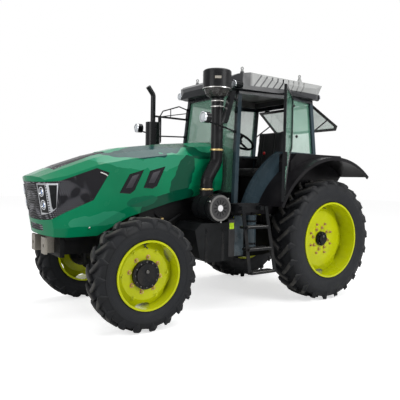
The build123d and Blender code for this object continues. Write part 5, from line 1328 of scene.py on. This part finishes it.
def makeControls():
    for n, (foot, head, finish) in enumerate(cabControls["levers"]):
        rod = newRod("leverRod", spot(*foot), spot(*head), 0.006, 10)
        boot = spun("boot", cabControls["boot"], spot(*foot), spot(*head) - spot(*foot), 20)
        putJoined(f"lever_{n}", [rod, boot], "chassis", "softRubber")
        knob = newBall("knob", spot(*head), 0.017, (1, 1, 1.25), 12)
        putOn(knob, "chassis", finish).name = f"leverKnob_{n}"
    for n, (x, y) in enumerate(cabControls["pedals"]):
        points = [spot(x + 0.085, y, 1.330), spot(x + 0.050, y, 1.270), spot(x + 0.010, y, 1.230)]
        arm = bentPipe("pedalArm", points, 0.008)
        corner = Vector((0.004, 0.032, 0.038))
        pad = newBlock("pedalPad", -corner, corner)
        openFaces(pad, lambda centre, normal: normal.x < -0.9)
        bpy.ops.mesh.subdivide(number_cuts=3)
        bpy.ops.mesh.inset(thickness=0.003, depth=0.002, use_individual=True)
        closeEdit()
        pad.data.transform(Matrix.Translation(spot(x, y, 1.225)) @ Matrix.Rotation(0.5, 4, "Y"))
        putJoined(f"pedal_{n}", [arm, pad], "chassis", "softRubber")
    column = math.radians(cabControls["column"])
    boss = spun("wheelBoss", cabControls["boss"], spot(*cabControls["bossAt"]),
                Vector((-math.sin(column), 0, math.cos(column))), 32)
    putOn(boss, "steering_wheel", "softRubber")


dashPod = {"at": (0.900, 0.0, 1.885), "lean": -25, "half": (0.030, 0.150, 0.062), "dials": (-0.080, 0.080),
           "dial": [(0.020, 0.045), (0.028, 0.045), (0.030, 0.042), (0.028, 0.039), (0.020, 0.039)]}


def makeDashFace():
    # instrument pod with two blank dials
    corner = Vector(dashPod["half"])
    pod = newBlock("podShell", -corner, corner)
    openFaces(pod, lambda centre, normal: normal.x < -0.9)
    bpy.ops.mesh.inset(thickness=0.010, depth=-0.008)
    closeEdit()
    parts = [soften(pod, 0.006, 3)]
    for y in dashPod["dials"]:
        parts.append(ring("dialRing", dashPod["dial"], leftward * y, -ahead, 28))
    whole = joined("instrumentPod", parts)
    lean = Matrix.Rotation(math.radians(dashPod["lean"]), 4, "Y")
    whole.data.transform(Matrix.Translation(spot(*dashPod["at"])) @ lean)
    putOn(whole, "chassis", "softRubber")


footwell = {"x": (1.150, 1.162), "y": (0.345, 0.550), "z": (1.185, 1.740)}


def makeFootwell():
    # dark linings either side of the bulkhead, inside the front glass
    (rear, front), (inner, outer), (low, high) = footwell["x"], footwell["y"], footwell["z"]
    lining = newBlock("footwellLining", spot(rear, inner, low), spot(front, outer, high))
    openFaces(lining, lambda centre, normal: normal.x < -0.9)
    bpy.ops.mesh.inset(thickness=0.020, depth=-0.004)
    closeEdit()
    putBoth("footwellLinings", [soften(lining, 0.003, 2)], "chassis", "cabPlastic")


makeSeat()
makeFootwell()
makeControls()
makeDashFace()
print("cab fitted")


# ---- windows, doors and mirrors
windowKnobs = {"at": [(0.406, 2.344), (0.342, 1.982)], "side": 0.655,
               "profile": [(-0.004, 0.0), (-0.004, 0.016), (0.004, 0.018), (0.010, 0.014), (0.012, 0.0)]}


def makeKnobs():
    knobs = [spun("knob", windowKnobs["profile"], spot(x, windowKnobs["side"], z), leftward, 20)
             for x, z in windowKnobs["at"]]
    putBoth("windowKnobs", knobs, "chassis", "softRubber")


mirrorFaces = {
    "left": {"at": (1.478, 0.805, 2.362), "lean": (0.062, -0.045), "turn": 66, "face": 1, "side": 1},
    "right": {"at": (1.410, 0.800, 2.249), "lean": (0.0, 0.0), "turn": -60, "face": -1, "side": -1},
}
mirrorOutline = [(-0.060, -0.020), (0.060, -0.020), (0.074, -0.055), (0.070, -0.265), (0.050, -0.312),
                 (-0.050, -0.312), (-0.070, -0.265), (-0.074, -0.055)]
mirrorTall = 0.330


def makeMirrorGlass():
    # a silvered face on the back of each mirror head, following its lean
    for name, mirror in mirrorFaces.items():
        x, y, top = mirror["at"]
        turn, lean = math.radians(mirror["turn"]), Vector(mirror["lean"])
        wide, deep = Vector((math.cos(turn), math.sin(turn))), Vector((-math.sin(turn), math.cos(turn)))
        glass = slab(f"mirrorGlass_{name}", mirrorOutline, 0.0195, 0.0235)
        for point in glass.data.vertices:
            across, out, drop = point.co - spot(0, 0, 0)
            flat = Vector((x, y)) + wide * across + deep * out * mirror["face"] - lean * (drop / mirrorTall)
            point.co = spot(flat.x, flat.y * mirror["side"], top + drop)
        putOn(cleanShell(glass), "chassis", "lampChrome")


makeKnobs()
makeMirrorGlass()


# ---- rear: couplers, shaft guard and blank plate
rearTrim = {"panelFace": -0.070, "blockLow": 1.130, "blockHigh": 1.260, "columns": (0.130, 0.200, 0.270),
            "rows": (1.165, 1.225), "plate": (0.140, 1.440, 1.550),
            "coupler": [(0.0, 0.020), (0.026, 0.020), (0.030, 0.016), (0.042, 0.016), (0.044, 0.012),
                        (0.044, 0.0), (0.0, 0.0)],
            "guard": [(-0.100, 0.600), (-0.100, 0.700), (-0.070, 0.735), (0.070, 0.735), (0.100, 0.700),
                      (0.100, 0.600), (0.090, 0.600), (0.090, 0.695), (0.065, 0.725), (-0.065, 0.725),
                      (-0.090, 0.695), (-0.090, 0.600)]}


def makeRear():
    face, columns = rearTrim["panelFace"], rearTrim["columns"]
    couplers = [softBlock("couplerBlock", (face - 0.040, columns[0] - 0.045, rearTrim["blockLow"]),
                          (face + 0.004, columns[-1] + 0.045, rearTrim["blockHigh"]), 0.005, 2)]
    for y in columns:
        for z in rearTrim["rows"]:
            couplers.append(spun("coupler", rearTrim["coupler"], spot(face - 0.040, y, z), -ahead, 20))
    putJoined("rearCouplers", couplers, "chassis", "darkSteel")
    half, low, high = rearTrim["plate"]
    plate = softBlock("rearPlate", (face - 0.004, -half, low), (face + 0.001, half, high), 0.0015)
    putOn(plate, "chassis", "plateBeige")
    guard = slab("shaftGuard", rearTrim["guard"], -0.255, -0.360, "x")
    putOn(soften(guard, 0.0015, 1), "chassis", "partsBlack")


makeRear()
print("windows and rear fitted")


# ---- floor, light and camera
stageLight = {
    "ambient": 0.44,
    "floorLift": 0.62,
    "lamps": [
        {"name": "overhead", "at": (-1.0, 0.6, 7.5), "aim": (0, 0, 1.0), "size": (7, 5), "power": 400},
        {"name": "leftKey", "at": (-2.5, 7.5, 4.5), "aim": (0, 0, 1.0), "size": (4, 3), "power": 330},
        {"name": "frontFill", "at": (7.5, 1.5, 3.0), "aim": (0.5, 0, 1.0), "size": (4, 3), "power": 170},
    ],
}


def layFloor():
    deselectAll()
    bpy.ops.mesh.primitive_plane_add(size=60.0, location=(0, 0, 0))
    floor = bpy.context.object
    floor.name = "paleFloor"
    material = bpy.data.materials.new("paleFloor")
    material.use_nodes = True
    tree = material.node_tree
    shader = tree.nodes["Principled BSDF"]
    shader.inputs["Base Color"].default_value = (0.80, 0.80, 0.80, 1.0)
    shader.inputs["Roughness"].default_value = 0.9
    shader.inputs["Specular IOR Level"].default_value = 0.0
    # seen directly the floor is lifted to white, and keeps the tractor's shadow
    seen = addNode(tree, "ShaderNodeLightPath", {}).outputs["Is Camera Ray"]
    shader.inputs["Emission Color"].default_value = (1.0, 1.0, 1.0, 1.0)
    tree.links.new(times(tree, seen, stageLight["floorLift"]), shader.inputs["Emission Strength"])
    floor.data.materials.append(material)


def lightWorld():
    # plain white where it is seen, dimmer as a light
    world = bpy.context.scene.world or bpy.data.worlds.new("studio")
    bpy.context.scene.world = world
    world.use_nodes = True
    tree = world.node_tree
    tree.nodes.clear()
    rays = addNode(tree, "ShaderNodeLightPath", {})
    direct = calc(tree, "MAXIMUM", rays.outputs["Is Camera Ray"], rays.outputs["Is Glossy Ray"])
    direct = calc(tree, "MAXIMUM", direct, rays.outputs["Is Transmission Ray"])
    strength = remap(tree, direct, 0.0, 1.0, stageLight["ambient"], 1.0)
    glow = addNode(tree, "ShaderNodeBackground", {"Color": (1.0, 1.0, 1.0, 1.0), "Strength": strength})
    addNode(tree, "ShaderNodeOutputWorld", {"Surface": glow.outputs[0]})


def hangLamps():
    for lamp in stageLight["lamps"]:
        data = bpy.data.lights.new(lamp["name"], "AREA")
        data.shape = "RECTANGLE"
        data.size, data.size_y = lamp["size"]
        data.energy = lamp["power"]
        light = bpy.data.objects.new(lamp["name"], data)
        light.location = lamp["at"]
        light.rotation_euler = (Vector(lamp["aim"]) - Vector(lamp["at"])).to_track_quat("-Z", "Y").to_euler()
        bpy.context.collection.objects.link(light)


layFloor()
lightWorld()
hangLamps()


cameraView = {"at": (3.482, 4.725 + midY, 1.445), "lens": 42.83, "right": (-0.816723, 0.576724, 0.01876),
              "up": (-0.010107, -0.046805, 0.998853), "back": (0.576941, 0.815597, 0.044055)}


def setCamera():
    data = bpy.data.cameras.new("photoCamera")
    data.sensor_width = 36.0
    data.lens = cameraView["lens"]
    camera = bpy.data.objects.new("photoCamera", data)
    axes = Matrix((cameraView["right"], cameraView["up"], cameraView["back"])).transposed()
    camera.matrix_world = Matrix.Translation(cameraView["at"]) @ axes.to_4x4()
    bpy.context.collection.objects.link(camera)
    bpy.context.scene.camera = camera


setCamera()
bpy.context.scene.view_settings.view_transform = "Standard"
print("floor, light and camera set")
